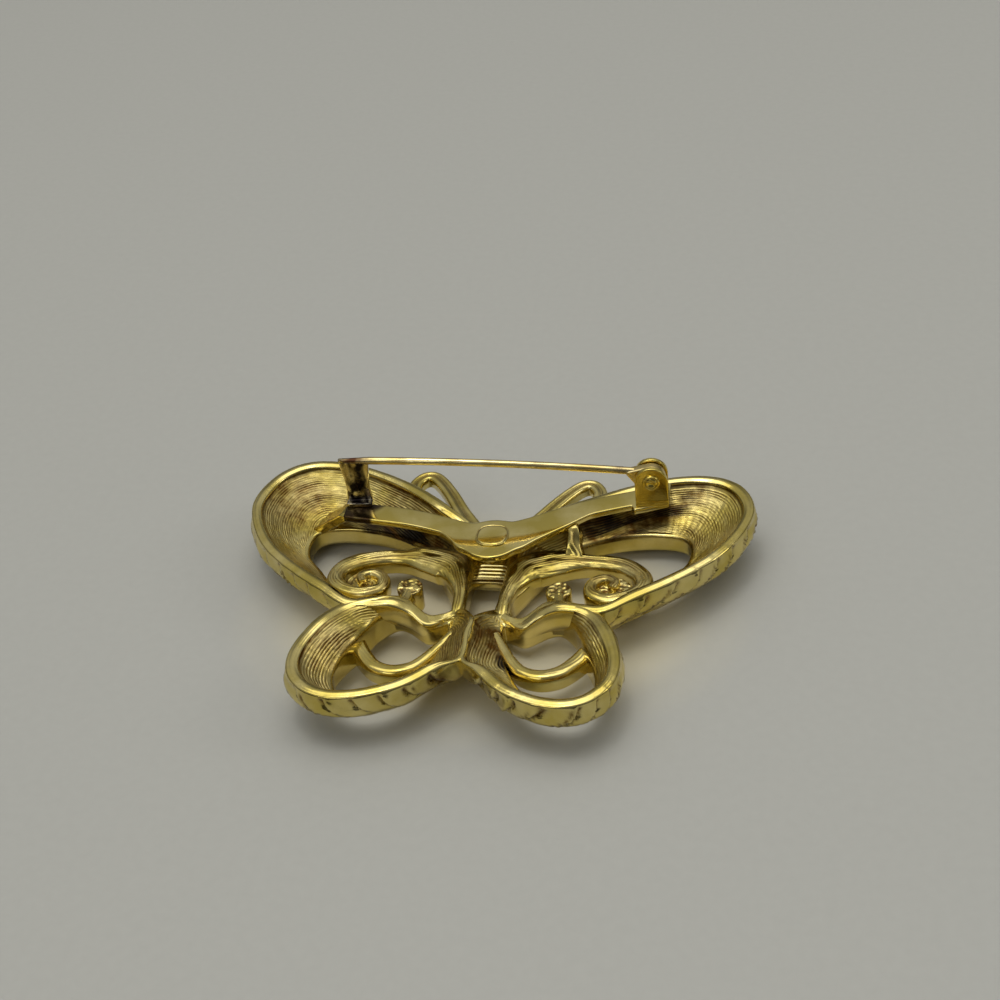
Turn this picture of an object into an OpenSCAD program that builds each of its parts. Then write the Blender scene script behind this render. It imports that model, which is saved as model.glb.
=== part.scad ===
// Openwork butterfly brooch, lying on its face with the back up.
// +X runs along the right wing as seen from the back, +Y to the head, +Z out of the back.
// The wings are hollow-backed castings with scrolls across their openings.

/* [Butterfly] */
// Width from wing tip to wing tip
span = 57.2; // [50:0.2:66]
// Length from the leading edge of the wings to the bottom of the hindwings
wing_length = 38.6; // [34:0.2:44]
// Depth of the hollow in the back of each wing, below the rim
hollow = 3.2; // [2.6:0.1:4]
// Thickness of the casting round its openings
plate_t = 2.1; // [1.7:0.1:2.6]
// How far the face bulges below the edges of the openings
dome = 1.3; // [0.8:0.1:1.8]
// How much farther forward the left leading edge was cast than the right one
lead_skew = 2; // [0:0.1:3]
// How much farther out the left forewing was cast than the right one
fore_skew = 0.6; // [0:0.1:1.2]
// How much farther out the left hindwing was cast than the right one
hind_skew = 1.4; // [0:0.1:2]

/* [Rim] */
// Width of the smooth band round the back of each wing
rim_w = 1.3; // [1:0.05:1.6]
// Height of the carved outer wall
wall_h = 3.3; // [2.8:0.1:3.8]
// How far the foot of the outer wall tucks in under the band
wall_tuck = 0.8; // [0.4:0.1:1.2]
// How far the carved leaves swell out of the outer wall
leaf_h = 0.55; // [0.2:0.05:0.8]
// Number of carved leaves that would go round a forewing
fore_leaves = 28; // [24:1:34]
// Number of carved leaves that would go round a hindwing
hind_leaves = 21; // [18:1:26]

/* [Scrolls] */
// Thickness of the scroll arms, front to back
arm_t = 2; // [1.6:0.1:2.6]
// Width of the scroll arm of each forewing
arm_w = 2.4; // [2:0.1:2.8]
// Width of the scroll arm of each hindwing
hind_arm_w = 1.7; // [1.4:0.1:2]
// Radius of the solid eye in the forewing scroll
eye_r = 2.5; // [2.2:0.1:2.8]
// Radius of the small knob between the wings
knob_r = 1.4; // [1.1:0.05:1.6]

/* [Body and antennae] */
// Width of the slot along the abdomen
slot_w = 3.5; // [3:0.1:3.9]
// Thickness of the antennae, front to back
antenna_t = 1.5; // [1.2:0.1:1.8]
// Width of the antennae
antenna_w = 1.7; // [1.5:0.1:2.1]
// Thickness of the thorax between the wings
thorax_t = 1.3; // [1:0.1:2]
// Radius of the head
head_r = 2.4; // [2:0.1:2.8]
// Number of ribs across the thorax
ribs = 5; // [3:1:7]

/* [Bar] */
// Width of the flat bar that carries the pin
bar_w = 2.9; // [2.6:0.1:3.4]
// Thickness of the bar
bar_t = 0.8; // [0.6:0.1:1.2]
// Height of the bar's face above the rim
bar_lift = 0.2; // [0.1:0.05:0.5]
// Slope of each half of the bar, which makes its shallow V
bar_slope = 19.4; // [16:0.2:21]
// Turn of the whole bar against the butterfly
bar_skew = 5.6; // [4:0.2:7]
// Distance from the middle to the hinge's end of the bar
bar_reach = 18.9; // [18:0.1:19.6]
// Distance from the middle to the catch's end of the bar
catch_reach = 17.4; // [16.6:0.1:18]
// How far each half of the bar bows forward
bar_bow = 0.7; // [0:0.1:1]
// Radius of the round pad in the middle of the bar
pad_r = 3.3; // [3:0.1:3.7]
// How far the bar's near edge swells where it runs into the pad
flare = 2.5; // [0:0.1:3]
// Diameter of the plain raised oval on the pad
oval_d = 3.8; // [3.2:0.1:4.4]
// Height of that oval above the pad
oval_h = 0.2; // [0.1:0.05:0.3]

/* [Pin] */
// Diameter of the pin stem
stem_d = 0.85; // [0.7:0.05:1.1]
// Rise of the stem above the bar's face where it meets the catch
stem_over_catch = 6.4; // [5.6:0.1:6.8]
// How far the stem's middle is bent up above the straight line between its ends
stem_bow = 0.4; // [0.2:0.05:0.6]
// How far short of the catch's outer edge the stem ends
stem_short = 0.2; // [0:0.1:0.6]
// Length of the stem's point
point_l = 3.25; // [2.5:0.25:5]
// Height of the pivot above the bar's face
pivot_h = 3.2; // [2.9:0.1:3.6]
// Height of the stem's root above the pivot
root_rise = 0.6; // [0.4:0.05:0.8]
// Thickness of the flat eye at the root of the stem
eye_t = 1; // [0.8:0.05:1.3]
// Radius of that eye
stem_eye_r = 1.6; // [1.3:0.05:1.7]

/* [Hinge] */
// Width of each ear of the hinge
ear_w = 3.6; // [3.2:0.1:4]
// Thickness of each ear and of the hinge's floor
ear_t = 0.5; // [0.4:0.05:0.7]
// Side clearance of the stem's eye between the ears
side_gap = 0.12; // [0.08:0.01:0.2]
// Diameter of the hinge rivet
rivet_d = 1; // [0.8:0.05:1.2]
// Running clearance of the stem's eye round the rivet
run_gap = 0.05; // [0.03:0.01:0.08]
// Diameter of the rivet's heads
rivet_head_d = 1.9; // [1.6:0.1:2.2]
// Thickness of each rivet head
rivet_head_t = 0.3; // [0.2:0.05:0.4]

/* [Catch] */
// Width of the catch's strip along the stem
catch_w = 3; // [2.4:0.1:3.4]
// Thickness of the catch's strip
catch_t = 0.5; // [0.4:0.05:0.7]
// Length of the catch's foot on the bar
catch_foot = 1.2; // [1:0.1:1.6]
// Clearance between the stem and the lip behind it
lip_gap = 0.12; // [0.08:0.01:0.2]

/* [Hidden] */
gold = "#b9a04e";
pale_gold = "#c9b568";
tarnish = "#4a3a1c";

half = span / 2;
floor_z = dome + plate_t;
rim_z = floor_z + hollow;
bar_z = rim_z + bar_lift;
arm_side = 6;
// The left hindwing was cast a little higher, so the two overlap and never meet face to face
hind_lift = 0.07;
// Sections to each carved leaf, and along a scroll
leaf_n = 3;
fore_n = fore_leaves * leaf_n;
hind_n = hind_leaves * leaf_n;
arm_n = 18;

// The wing tables. Each row is one section through the wing, from its rim to the edge of its
// opening. Columns: rim x, rim y, opening x, opening y, rim height, lead, face, fill.
// x is a share of half the span, y of the wing length. Rim height is a share of the hollow,
// lead says how far the section follows the skew of the leading edge, face is the height of the
// lowest part of the wing's face, as a share of the dome, and fill says how far the hollow is
// only a sheet that slopes from the band.
fore_rows = [
    [0.070, 0.068, 0.235, 0.018, 0.60, 0.0, 0.3, 0.0],
    [0.061, -0.040, 0.215, -0.036, 0.15, 0.0, 0.0, 0.0],
    [0.061, -0.117, 0.160, -0.114, 0.15, 0.0, 0.0, 0.0],
    [0.061, -0.181, 0.115, -0.181, 0.20, 0.0, 0.0, 0.0],
    [0.061, -0.244, 0.120, -0.235, 0.20, 0.0, 0.0, 0.0],
    [0.118, -0.285, 0.139, -0.256, 0.22, 0.0, 0.5, 0.0],
    [0.181, -0.316, 0.174, -0.272, 0.30, 0.0, 1.0, 0.0],
    [0.250, -0.293, 0.229, -0.238, 0.60, 0.0, 1.2, 0.0],
    [0.319, -0.292, 0.305, -0.238, 0.88, 0.0, 1.3, 0.0],
    [0.400, -0.296, 0.382, -0.223, 0.88, 0.0, 1.3, 0.0],
    [0.486, -0.298, 0.472, -0.218, 0.93, 0.0, 1.4, 0.0],
    [0.601, -0.241, 0.542, -0.179, 1.00, 0.0, 1.5, 0.0],
    [0.701, -0.187, 0.608, -0.127, 1.00, 0.0, 1.4, 0.0],
    [0.809, -0.119, 0.670, -0.067, 1.00, 0.0, 1.2, 0.0],
    [0.896, -0.047, 0.729, -0.016, 1.00, 0.0, 0.9, 0.0],
    [0.965, 0.047, 0.750, 0.026, 1.00, 0.0, 0.5, 0.0],
    [1.000, 0.140, 0.753, 0.067, 1.00, 0.0, 0.1, 0.0],
    [0.986, 0.218, 0.740, 0.098, 1.00, 0.2, 0.0, 0.0],
    [0.931, 0.290, 0.705, 0.117, 1.00, 0.6, 0.0, 0.0],
    [0.833, 0.331, 0.653, 0.124, 1.00, 0.9, 0.0, 0.0],
    [0.694, 0.330, 0.583, 0.124, 1.00, 1.0, 0.0, 0.0],
    [0.535, 0.290, 0.493, 0.114, 1.00, 1.0, 0.1, 0.0],
    [0.365, 0.223, 0.403, 0.091, 1.00, 0.9, 0.4, 0.0],
    [0.208, 0.140, 0.319, 0.057, 1.00, 0.5, 0.5, 0.0],
];
hind_rows = [
    [0.061, -0.235, 0.104, -0.290, 0.25, 0.0, 0.2, 0.3],
    [-0.008, -0.325, 0.104, -0.326, 0.80, 0.0, 0.4, 0.2],
    [-0.008, -0.389, 0.115, -0.380, 0.88, 0.0, 0.9, 0.2],
    [-0.008, -0.490, 0.139, -0.433, 0.88, 0.0, 1.5, 0.0],
    [0.059, -0.541, 0.167, -0.477, 1.00, 0.0, 1.8, 0.0],
    [0.115, -0.585, 0.201, -0.518, 1.00, 0.0, 1.8, 0.0],
    [0.174, -0.622, 0.243, -0.554, 1.00, 0.0, 1.8, 0.0],
    [0.250, -0.650, 0.292, -0.578, 1.00, 0.0, 1.8, 0.0],
    [0.330, -0.668, 0.340, -0.588, 1.00, 0.0, 1.8, 0.0],
    [0.417, -0.671, 0.389, -0.588, 1.00, 0.0, 1.8, 0.0],
    [0.493, -0.653, 0.431, -0.575, 1.00, 0.0, 1.8, 0.0],
    [0.556, -0.611, 0.458, -0.552, 1.00, 0.0, 1.8, 0.1],
    [0.590, -0.560, 0.472, -0.518, 1.00, 0.0, 1.8, 0.3],
    [0.597, -0.500, 0.465, -0.477, 1.00, 0.0, 1.6, 0.6],
    [0.580, -0.435, 0.444, -0.435, 1.00, 0.0, 1.5, 0.9],
    [0.542, -0.363, 0.417, -0.396, 1.00, 0.0, 1.4, 1.0],
    [0.486, -0.295, 0.392, -0.347, 0.88, 0.0, 1.4, 1.0],
    [0.417, -0.264, 0.368, -0.311, 0.88, 0.0, 1.3, 0.9],
    [0.333, -0.249, 0.312, -0.267, 0.85, 0.0, 1.3, 0.5],
    [0.264, -0.231, 0.264, -0.275, 0.60, 0.0, 1.2, 0.3],
    [0.181, -0.267, 0.188, -0.316, 0.30, 0.0, 1.0, 0.3],
    [0.125, -0.259, 0.139, -0.303, 0.25, 0.0, 0.6, 0.3],
];

// Scroll tables. Columns: x and y as above, width as a share of the arm's width, and height
// of the top above the floor as a share of the hollow.
fore_arm_rows = [
    [0.086, -0.235, 0.60, 0.24],
    [0.088, -0.175, 0.72, 0.26],
    [0.108, -0.112, 1.10, 0.27],
    [0.152, -0.045, 2.00, 0.26],
    [0.268, -0.008, 1.70, 0.20],
    [0.365, -0.003, 0.98, 0.15],
    [0.450, -0.009, 1.00, 0.16],
    [0.524, -0.029, 1.00, 0.20],
    [0.583, -0.073, 0.95, 0.26],
    [0.590, -0.127, 0.85, 0.30],
    [0.542, -0.168, 0.78, 0.32],
    [0.469, -0.182, 0.72, 0.32],
    [0.406, -0.159, 0.68, 0.30],
    [0.403, -0.117, 0.62, 0.30],
    [0.451, -0.096, 0.55, 0.32],
    [0.490, -0.114, 0.48, 0.36],
    [0.479, -0.140, 0.42, 0.38],
];
hind_arm_rows = [
    [0.430, -0.375, 1.20, 0.16],
    [0.389, -0.420, 1.12, 0.12],
    [0.337, -0.461, 1.06, 0.12],
    [0.271, -0.477, 1.00, 0.12],
    [0.208, -0.464, 0.90, 0.12],
    [0.163, -0.430, 0.80, 0.12],
    [0.118, -0.378, 0.72, 0.14],
    [0.080, -0.330, 0.66, 0.18],
];
// Middle line of the right antenna, from the head round its curl to the wing.
antenna_rows = [
    [0.063, 0.036, 1.25, 0],
    [0.150, 0.135, 1.05, 0],
    [0.217, 0.223, 0.96, 0],
    [0.270, 0.282, 0.92, 0],
    [0.312, 0.313, 0.90, 0],
    [0.350, 0.311, 0.88, 0],
    [0.377, 0.281, 0.88, 0],
    [0.378, 0.245, 0.92, 0],
    [0.366, 0.210, 1.05, 0],
];
antenna_z = floor_z + 0.68 * hollow;
antenna_lead = 0.6;

// Where the parts of the back sit in the plan.
eye_at = [0.472 * half, -0.136 * wing_length];
knob_at = [0.285 * half, -0.161 * wing_length];
head_at = [0, 0.045 * wing_length];
slot_top = -0.088 * wing_length;

// The plan is drawn about the pad, then moved so that the origin is under the middle.
plan_top = max([for (p = loop_rows(fore_rows, fore_n)) p[1]]) * wing_length + lead_skew / 2;
plan_bottom = min([for (p = loop_rows(hind_rows, hind_n)) p[1]]) * wing_length;
mid_x = -fore_skew / 2;
mid_y = (plan_top + plan_bottom) / 2;

// The bar's two halves, and the places of the hinge and the catch along them.
right_turn = bar_slope + bar_skew;
left_turn = bar_slope - bar_skew;
pad_at = [0.2, -0.5];
pad_fillet = 2;
// Swell of the bar's near edge: place as a share of the bar's reach, share of the flare
flare_rows = [
    [-0.296, 0], [-0.233, 0.28], [-0.185, 0.68], [0.2, 1], [0.265, 0.76], [0.36, 0.56], [0.45, 0.36],
    [0.555, 0]
];
post_x = 8.2;
post_w = 1.1;
post_foot_w = 2.1;
post_foot_y = -0.6;
leg_out = 2.2;
function bar_mid(x) = [
    x,
    abs(x) * tan(x > 0 ? right_turn : left_turn) + bar_bow * (1 - cos(360 * x / bar_reach)) / 2
];
hinge_x = bar_reach - ear_w / 2;
catch_x = -(catch_reach - catch_w / 2);
hinge_y = bar_mid(hinge_x)[1] - bar_w * 0.4;
catch_y = bar_mid(catch_x)[1] + bar_w * 0.22;
pin_turn = atan2(hinge_y - catch_y, hinge_x - catch_x);
pin_run = norm([hinge_x - catch_x, hinge_y - catch_y]);
gap_between_ears = eye_t + 2 * side_gap;
pivot_z = bar_z + pivot_h;
stem_root_z = pivot_z + root_rise;
stem_rise = atan2(bar_z + stem_over_catch - stem_root_z, pin_run);
stem_l = (pin_run + catch_w / 2 - stem_short) / cos(stem_rise);
plate_l = 2.6;
// How much thicker the stem's inner half is, and how far the outer half reaches into it
root_thicker = 1.03;
bend_lap = 0.15;
// Clearance of the rivet in the ears, and how far the catch's top lies below the stem's middle
rivet_fit = 0.04;
lip_drop = 0.1;

// Catmull-Rom curve through rows of numbers
function blend_rows(a, b, c, d, t) =
    0.5 * (2 * b + (c - a) * t + (2 * a - 5 * b + 4 * c - d) * t * t
        + (3 * b - a - 3 * c + d) * t * t * t);
function loop_rows(rows, n) = [
    for (i = [0 : n - 1])
        let (m = len(rows), s = i * m / n, k = floor(s))
        blend_rows(rows[(k + m - 1) % m], rows[k], rows[(k + 1) % m], rows[(k + 2) % m], s - k)
];
function path_rows(rows, n) = [
    for (i = [0 : n])
        let (m = len(rows) - 1, s = min(i * m / n, m - 0.0001), k = floor(s))
        blend_rows(rows[max(k - 1, 0)], rows[k], rows[k + 1], rows[min(k + 2, m)], s - k)
];

// Distance along a loop up to each of its points, and all the way round
function run_along(pts) = [
    for (i = 0, s = 0; i <= len(pts);
        s = s + norm(pts[(i + 1) % len(pts)] - pts[i % len(pts)]), i = i + 1) s
];
// The same loop of rows, sampled again at n even steps along its rim
function even_rows(rows, n) =
    let (
        fine = loop_rows(rows, len(rows) * 6),
        along = run_along([for (r = fine) [r[0] * half, r[1] * wing_length]]),
        m = len(fine)
    ) [
        for (i = [0 : n - 1])
            let (
                target = i * along[m] / n,
                k = len([for (a = along) if (a <= target) a]) - 1,
                t = (target - along[k]) / (along[k + 1] - along[k])
            ) fine[k] * (1 - t) + fine[(k + 1) % m] * t
    ];
// Leaf relief along the rim: each leaf swells over its sections, then drops to the next
function leaf(i) = leaf_h * (i % leaf_n) / (leaf_n - 1);

// One section through a wing, as a closed loop of points. The i-th section of the wing runs
// from rim to opening, and out points away from the wing.
function section(rim, opening, rim_share, face, fill, i, out) =
    let (
        run = norm(opening - rim),
        dir = (opening - rim) / run,
        band = min(rim_w, run * 0.7),
        top = floor_z + hollow * rim_share,
        crest = max(dome * face, 0),
        foot = max(top - wall_h, crest + 0.3),
        carved = rim_share > 0.9 ? 1 : 0,
        wall = top - foot,
        sink = top - floor_z,
        at = function (share) rim + dir * (band + (run - band) * share)
    ) [
        [each rim, top],
        [each rim + dir * band, top - 0.1],
        [each at(0.3), floor_z + sink * (0.52 + 0.40 * fill)],
        [each at(0.65), floor_z + sink * (0.16 + 0.60 * fill)],
        [each opening, floor_z + sink * 0.4 * fill],
        [each opening + dir * 0.1, max(dome, crest - 0.6)],
        [each rim + dir * run * 0.55, crest],
        [each rim + dir * min(wall_tuck, run * 0.3), foot],
        [each rim + out * carved * leaf(i + 1), top - wall * 0.72],
        [each rim + out * (carved * leaf(i) + 0.1), top - wall * 0.35],
    ];

// Faces of a tube whose rings all have k points, closed on itself or capped at both ends
function side_faces(rings, k, closed) = [
    for (i = [0 : rings - (closed ? 1 : 2)], j = [0 : k - 1])
        let (a = i * k, b = ((i + 1) % rings) * k, n = (j + 1) % k)
        each [[a + j, a + n, b + n], [a + j, b + n, b + j]]
];
function cap_faces(rings, k) = [
    [for (j = [k - 1 : -1 : 0]) j],
    [for (j = [0 : k - 1]) (rings - 1) * k + j]
];

// A wing: its sections carried round the loop that the table gives
module wing(rows, n, reach, lead) {
    samples = even_rows(rows, n);
    rim = [for (r = samples) [r[0] * reach, r[1] * wing_length + lead * r[5]]];
    rings = [
        for (i = [0 : n - 1])
            let (
                r = samples[i],
                t = rim[(i + 1) % n] - rim[(i + n - 1) % n],
                out = [t[1], -t[0]] / norm(t)
            )
            section(rim[i], [r[2] * half, r[3] * wing_length], r[4], r[6], r[7], i, out)
    ];
    k = len(rings[0]);
    polyhedron([for (r = rings) each r], side_faces(n, k, true), convexity = 6);
}

// A scroll arm: a bar with rounded shoulders carried along its middle line
module scroll(rows, n, width, thick, lift) {
    line = path_rows(rows, n);
    mids = [for (r = line) [r[0] * half, r[1] * wing_length]];
    rings = [
        for (i = [0 : n])
            let (
                t = mids[min(i + 1, n)] - mids[max(i - 1, 0)],
                side = [t[1], -t[0]] / norm(t) * width * line[i][2] / 2,
                top = lift + hollow * line[i][3]
            ) [
                [each mids[i] + side * 0.55, top],
                [each mids[i] - side * 0.55, top],
                [each mids[i] - side, top - thick * 0.22],
                [each mids[i] - side * 0.86, top - thick],
                [each mids[i] + side * 0.86, top - thick],
                [each mids[i] + side, top - thick * 0.22],
            ]
    ];
    polyhedron([for (r = rings) each r],
        [each side_faces(n + 1, arm_side, false), each cap_faces(n + 1, arm_side)],
        convexity = 8);
}

// A button with softened edges, for the scroll's eye and the knob
module button(at, r, low, top) {
    hull() {
        translate([each at, low]) cylinder(r = r * 0.9, h = top - low - 0.3, $fn = 20);
        translate([each at, low]) cylinder(r = r * 0.7, h = top - low, $fn = 20);
    }
}

// Everything cast on one side of the body; side is -1 for the right one and 1 for the left
module side_casting(side) {
    wing(fore_rows, fore_n, half + side * fore_skew / 2, side * lead_skew / 2);
    translate([0, 0, max(side, 0) * hind_lift]) wing(hind_rows, hind_n, half + side * hind_skew, 0);
    scroll(fore_arm_rows, arm_n * 2, arm_w, arm_t, floor_z);
    scroll(hind_arm_rows, arm_n, hind_arm_w, arm_t, floor_z);
    translate([0, side * antenna_lead * lead_skew / 2, 0])
        scroll(antenna_rows, arm_n, antenna_w, antenna_t, antenna_z);
    button(eye_at, eye_r, dome, floor_z + hollow * 0.12);
    button(knob_at, knob_r, dome + 0.2, floor_z + hollow * 0.35);
    // neck of the knob, out of the ridge between the wings
    hull() {
        translate([each knob_at, dome + 0.2]) cylinder(r = knob_r * 0.6, h = plate_t, $fn = 12);
        translate([0.3 * half, -0.262 * wing_length, dome + 0.2])
            cylinder(r = knob_r * 0.7, h = plate_t + hollow * 0.5, $fn = 12);
    }
}

// The thorax under the pad, with ribs across its back, and the head
module thorax() {
    back = floor_z - 0.5;
    rib_run = (head_at[1] - slot_top) * 0.62;
    rib_step = rib_run / ribs;
    translate([-slot_w * 0.75, slot_top, back - thorax_t])
        cube([slot_w * 1.5, head_at[1] - slot_top, thorax_t]);
    for (i = [0 : ribs - 1])
        hull() for (s = [-1, 1])
            translate([s * slot_w * 0.36, slot_top + rib_step * (i + 0.5), back])
                sphere(r = rib_step * 0.42, $fn = 8);
    hull() {
        translate([0, head_at[1], dome]) cylinder(r = head_r * 0.75, h = 1, $fn = 16);
        translate([0, head_at[1], dome + 0.3])
            cylinder(r = head_r, h = bar_z - bar_t / 2 - dome - 0.3, $fn = 20);
    }
}

// Outline of the flat V-shaped bar with its round pad and the hinge's seat, filleted
module bar_outline() {
    steps = 10;
    flare_mids = [for (row = flare_rows) bar_mid(bar_reach * row[0])];
    flare_edge = [
        for (i = [0 : len(flare_rows) - 1]) flare_mids[i] - [0, bar_w / 2 + flare * flare_rows[i][1]]
    ];
    offset(r = -pad_fillet) offset(r = pad_fillet) union() {
        for (reach = [-catch_reach, bar_reach])
            let (mids = [for (i = [0 : steps]) bar_mid(reach * i / steps)])
            for (i = [0 : steps - 1])
                hull() for (m = [mids[i], mids[i + 1]])
                    translate(m) square([0.02, bar_w], center = true);
        translate([hinge_x, hinge_y]) rotate(pin_turn)
            square([ear_w, gap_between_ears + 2 * ear_t], center = true);
        translate(pad_at) circle(r = pad_r, $fn = 36);
        polygon(concat(flare_edge, [flare_mids[len(flare_rows) - 1], [0, 0], flare_mids[0]]));
    }
}

// The flat bar, its plain raised oval, and the two legs that join it to the wings
module bar() {
    translate([0, 0, bar_z - bar_t]) linear_extrude(bar_t) bar_outline();
    translate([pad_at[0], pad_at[1] + 0.4, bar_z - 0.01])
        cylinder(d = oval_d, h = oval_h + 0.01, $fn = 28);
    end = bar_mid(-catch_reach);
    hull() {
        translate([end[0], end[1] - bar_w * 0.4, bar_z - bar_t]) cube([1, bar_w * 0.8, bar_t]);
        translate([end[0] - leg_out, end[1] - bar_w * 0.1, floor_z]) cube([1, bar_w * 0.8, bar_t]);
    }
    hull() {
        translate([post_x, bar_mid(post_x)[1] - bar_w * 0.6, bar_z - bar_t]) cube([post_w, 1, 0.5]);
        translate([post_x - 0.2, post_foot_y, floor_z - 0.5]) cube([post_foot_w, 1, 0.5]);
    }
}

module butterfly() {
    color(gold) translate([-mid_x, -mid_y, 0]) {
        side_casting(-1);
        mirror([1, 0, 0]) side_casting(1);
        thorax();
        bar();
    }
}

// Puts a finding in the pin's own frame: origin on the bar's face under the pivot, the stem
// running along -X and the rivet along Y
module at_hinge() {
    translate([hinge_x - mid_x, hinge_y - mid_y, bar_z]) rotate(pin_turn) children();
}

module pin_hinge() {
    color(pale_gold) at_hinge() difference() {
        union() {
            translate([-ear_w / 2, -gap_between_ears / 2 - ear_t, 0])
                cube([ear_w, gap_between_ears + 2 * ear_t, ear_t]);
            for (y = [-gap_between_ears / 2 - ear_t, gap_between_ears / 2]) {
                translate([-ear_w / 2, y, 0]) cube([ear_w, ear_t, pivot_h]);
                translate([0, y, pivot_h]) rotate([-90, 0, 0]) cylinder(d = ear_w, h = ear_t, $fn = 48);
            }
        }
        translate([0, -gap_between_ears, pivot_h]) rotate([-90, 0, 0])
            cylinder(d = rivet_d + rivet_fit, h = gap_between_ears * 2, $fn = 32);
    }
}

module hinge_rivet() {
    reach = gap_between_ears / 2 + ear_t;
    color(pale_gold) at_hinge() translate([0, 0, pivot_h]) rotate([-90, 0, 0]) {
        translate([0, 0, -reach - rivet_head_t]) cylinder(d = rivet_d, h = 2 * (reach + rivet_head_t), $fn = 32);
        for (z = [-reach - rivet_head_t, reach])
            translate([0, 0, z]) cylinder(d = rivet_head_d, h = rivet_head_t, $fn = 32);
    }
}

// The stem lies closed: a flat eye between the ears, then a wire bent up in its middle, which
// ends in a point. Its inner half is a little thicker, so the outer half comes out of a flat end
module pin_stem() {
    kink = atan2(stem_bow, stem_l / 2);
    wire_l = stem_l / 2 / cos(kink);
    color(gold) at_hinge() {
        difference() {
            union() {
                translate([0, -eye_t / 2, pivot_h]) rotate([-90, 0, 0])
                    cylinder(r = stem_eye_r, h = eye_t, $fn = 48);
                translate([0, eye_t / 2, pivot_h]) rotate([90, 0, 0]) linear_extrude(eye_t)
                    polygon([
                        [0, stem_eye_r - 0.1],
                        [-plate_l, root_rise + stem_d * 0.6],
                        [-plate_l, root_rise - stem_d * 0.3],
                        [-plate_l * 0.62, -root_rise - stem_d * 0.4],
                        [0, 0.1 - stem_eye_r],
                    ]);
            }
            translate([0, -eye_t, pivot_h]) rotate([-90, 0, 0])
                cylinder(d = rivet_d + 2 * run_gap, h = eye_t * 2, $fn = 32);
        }
        translate([0, 0, pivot_h + root_rise]) rotate([0, stem_rise, 0]) {
            rotate([0, kink - 90, 0]) translate([0, 0, plate_l * 0.7])
                cylinder(d = stem_d * root_thicker, h = wire_l - plate_l * 0.7, $fn = 24);
            translate([-stem_l / 2, 0, stem_bow]) rotate([0, -kink - 90, 0]) {
                translate([0, 0, -bend_lap])
                    cylinder(d = stem_d, h = wire_l - point_l + bend_lap, $fn = 24);
                translate([0, 0, wire_l - point_l])
                    cylinder(d1 = stem_d, d2 = stem_d * 0.25, h = point_l, $fn = 24);
            }
        }
    }
}

// Points of a quarter turn round a corner
function turn(at, r, from, to) = [for (a = [from : (to - from) / 6 : to]) at + r * [cos(a), sin(a)]];

// A strip bent into a C, with its mouth toward the tail; its lip ends just behind the stem
module catch() {
    high = stem_over_catch - lip_drop;
    lip = stem_d / 2 + lip_gap;
    bend = catch_t * 1.2;
    wall = lip + bend;
    inner = bend - catch_t;
    outline = [
        [wall - catch_foot, catch_t],
        [wall - catch_foot, 0],
        each turn([wall - bend, bend], bend, -90, 0),
        each turn([wall - bend, high - bend], bend, 0, 90),
        [lip, high - catch_t],
        each turn([wall - bend, high - bend], inner, 90, 0),
        each turn([wall - bend, bend], inner, 0, -90),
    ];
    color(tarnish) translate([catch_x - mid_x, catch_y - mid_y, bar_z]) rotate(pin_turn)
        translate([-catch_w / 2, 0, 0]) rotate([90, 0, 90]) linear_extrude(catch_w) polygon(outline);
}

butterfly();
pin_hinge();
hinge_rivet();
pin_stem();
catch();
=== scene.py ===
import math

import bpy
import numpy as np
from mathutils import Matrix, Vector


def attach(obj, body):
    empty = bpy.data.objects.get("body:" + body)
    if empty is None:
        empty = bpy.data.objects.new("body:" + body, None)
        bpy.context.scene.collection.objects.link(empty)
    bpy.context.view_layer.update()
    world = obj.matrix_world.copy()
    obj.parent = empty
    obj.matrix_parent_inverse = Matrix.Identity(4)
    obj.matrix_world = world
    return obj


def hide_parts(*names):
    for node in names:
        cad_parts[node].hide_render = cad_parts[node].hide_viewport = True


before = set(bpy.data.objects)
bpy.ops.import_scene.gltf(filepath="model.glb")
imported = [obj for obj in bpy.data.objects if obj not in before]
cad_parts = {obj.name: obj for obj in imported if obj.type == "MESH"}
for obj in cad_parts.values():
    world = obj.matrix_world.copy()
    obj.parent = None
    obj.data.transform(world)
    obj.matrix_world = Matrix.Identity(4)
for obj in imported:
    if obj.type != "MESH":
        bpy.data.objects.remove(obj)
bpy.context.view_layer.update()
print("frame loaded:", ", ".join(sorted(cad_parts)))

# Everything below is worked out in millimetres in the brooch's plan: x to the right wing, y to the
# head, z out of the back. The plan's zero lies under the pad, and toFrame moves it to the frame's.
plan = {
    "halfSpan": 28.6,
    "wingLength": 38.6,
    "dome": 1.3,  # bulge of the face below the openings
    "floorZ": 3.4,  # height of the openings' edges
    "hollow": 3.2,  # depth of the hollow back
    "barZ": 6.8,  # face of the flat bar
    "zero": (0.3, 5.99528, 0.0),
    "seed": 7,
}
halfSpan, wingLength = plan["halfSpan"], plan["wingLength"]
floorZ, hollow, dome, barZ = plan["floorZ"], plan["hollow"], plan["dome"], plan["barZ"]


# Surface helpers

def smoothStep(low, high, value):
    # 0 below low, 1 above high, and 3t^2 - 2t^3 between them
    t = np.clip((value - low) / (high - low), 0, 1)
    return t * t * (3 - 2 * t)


def waves(a, b, seed, count=7):
    # Smooth random relief: the sum of sine waves that cross the (a, b) plane in random directions
    rng = np.random.default_rng(plan["seed"] * 1000 + seed)
    turn = rng.uniform(0, 2 * math.pi, count)
    pace = rng.uniform(0.6, 1.5, count)
    shift = rng.uniform(0, 2 * math.pi, count)
    total = 0
    for k in range(count):
        total = total + np.sin(pace[k] * (a * math.cos(turn[k]) + b * math.sin(turn[k])) + shift[k])
    return total / math.sqrt(count)


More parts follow.
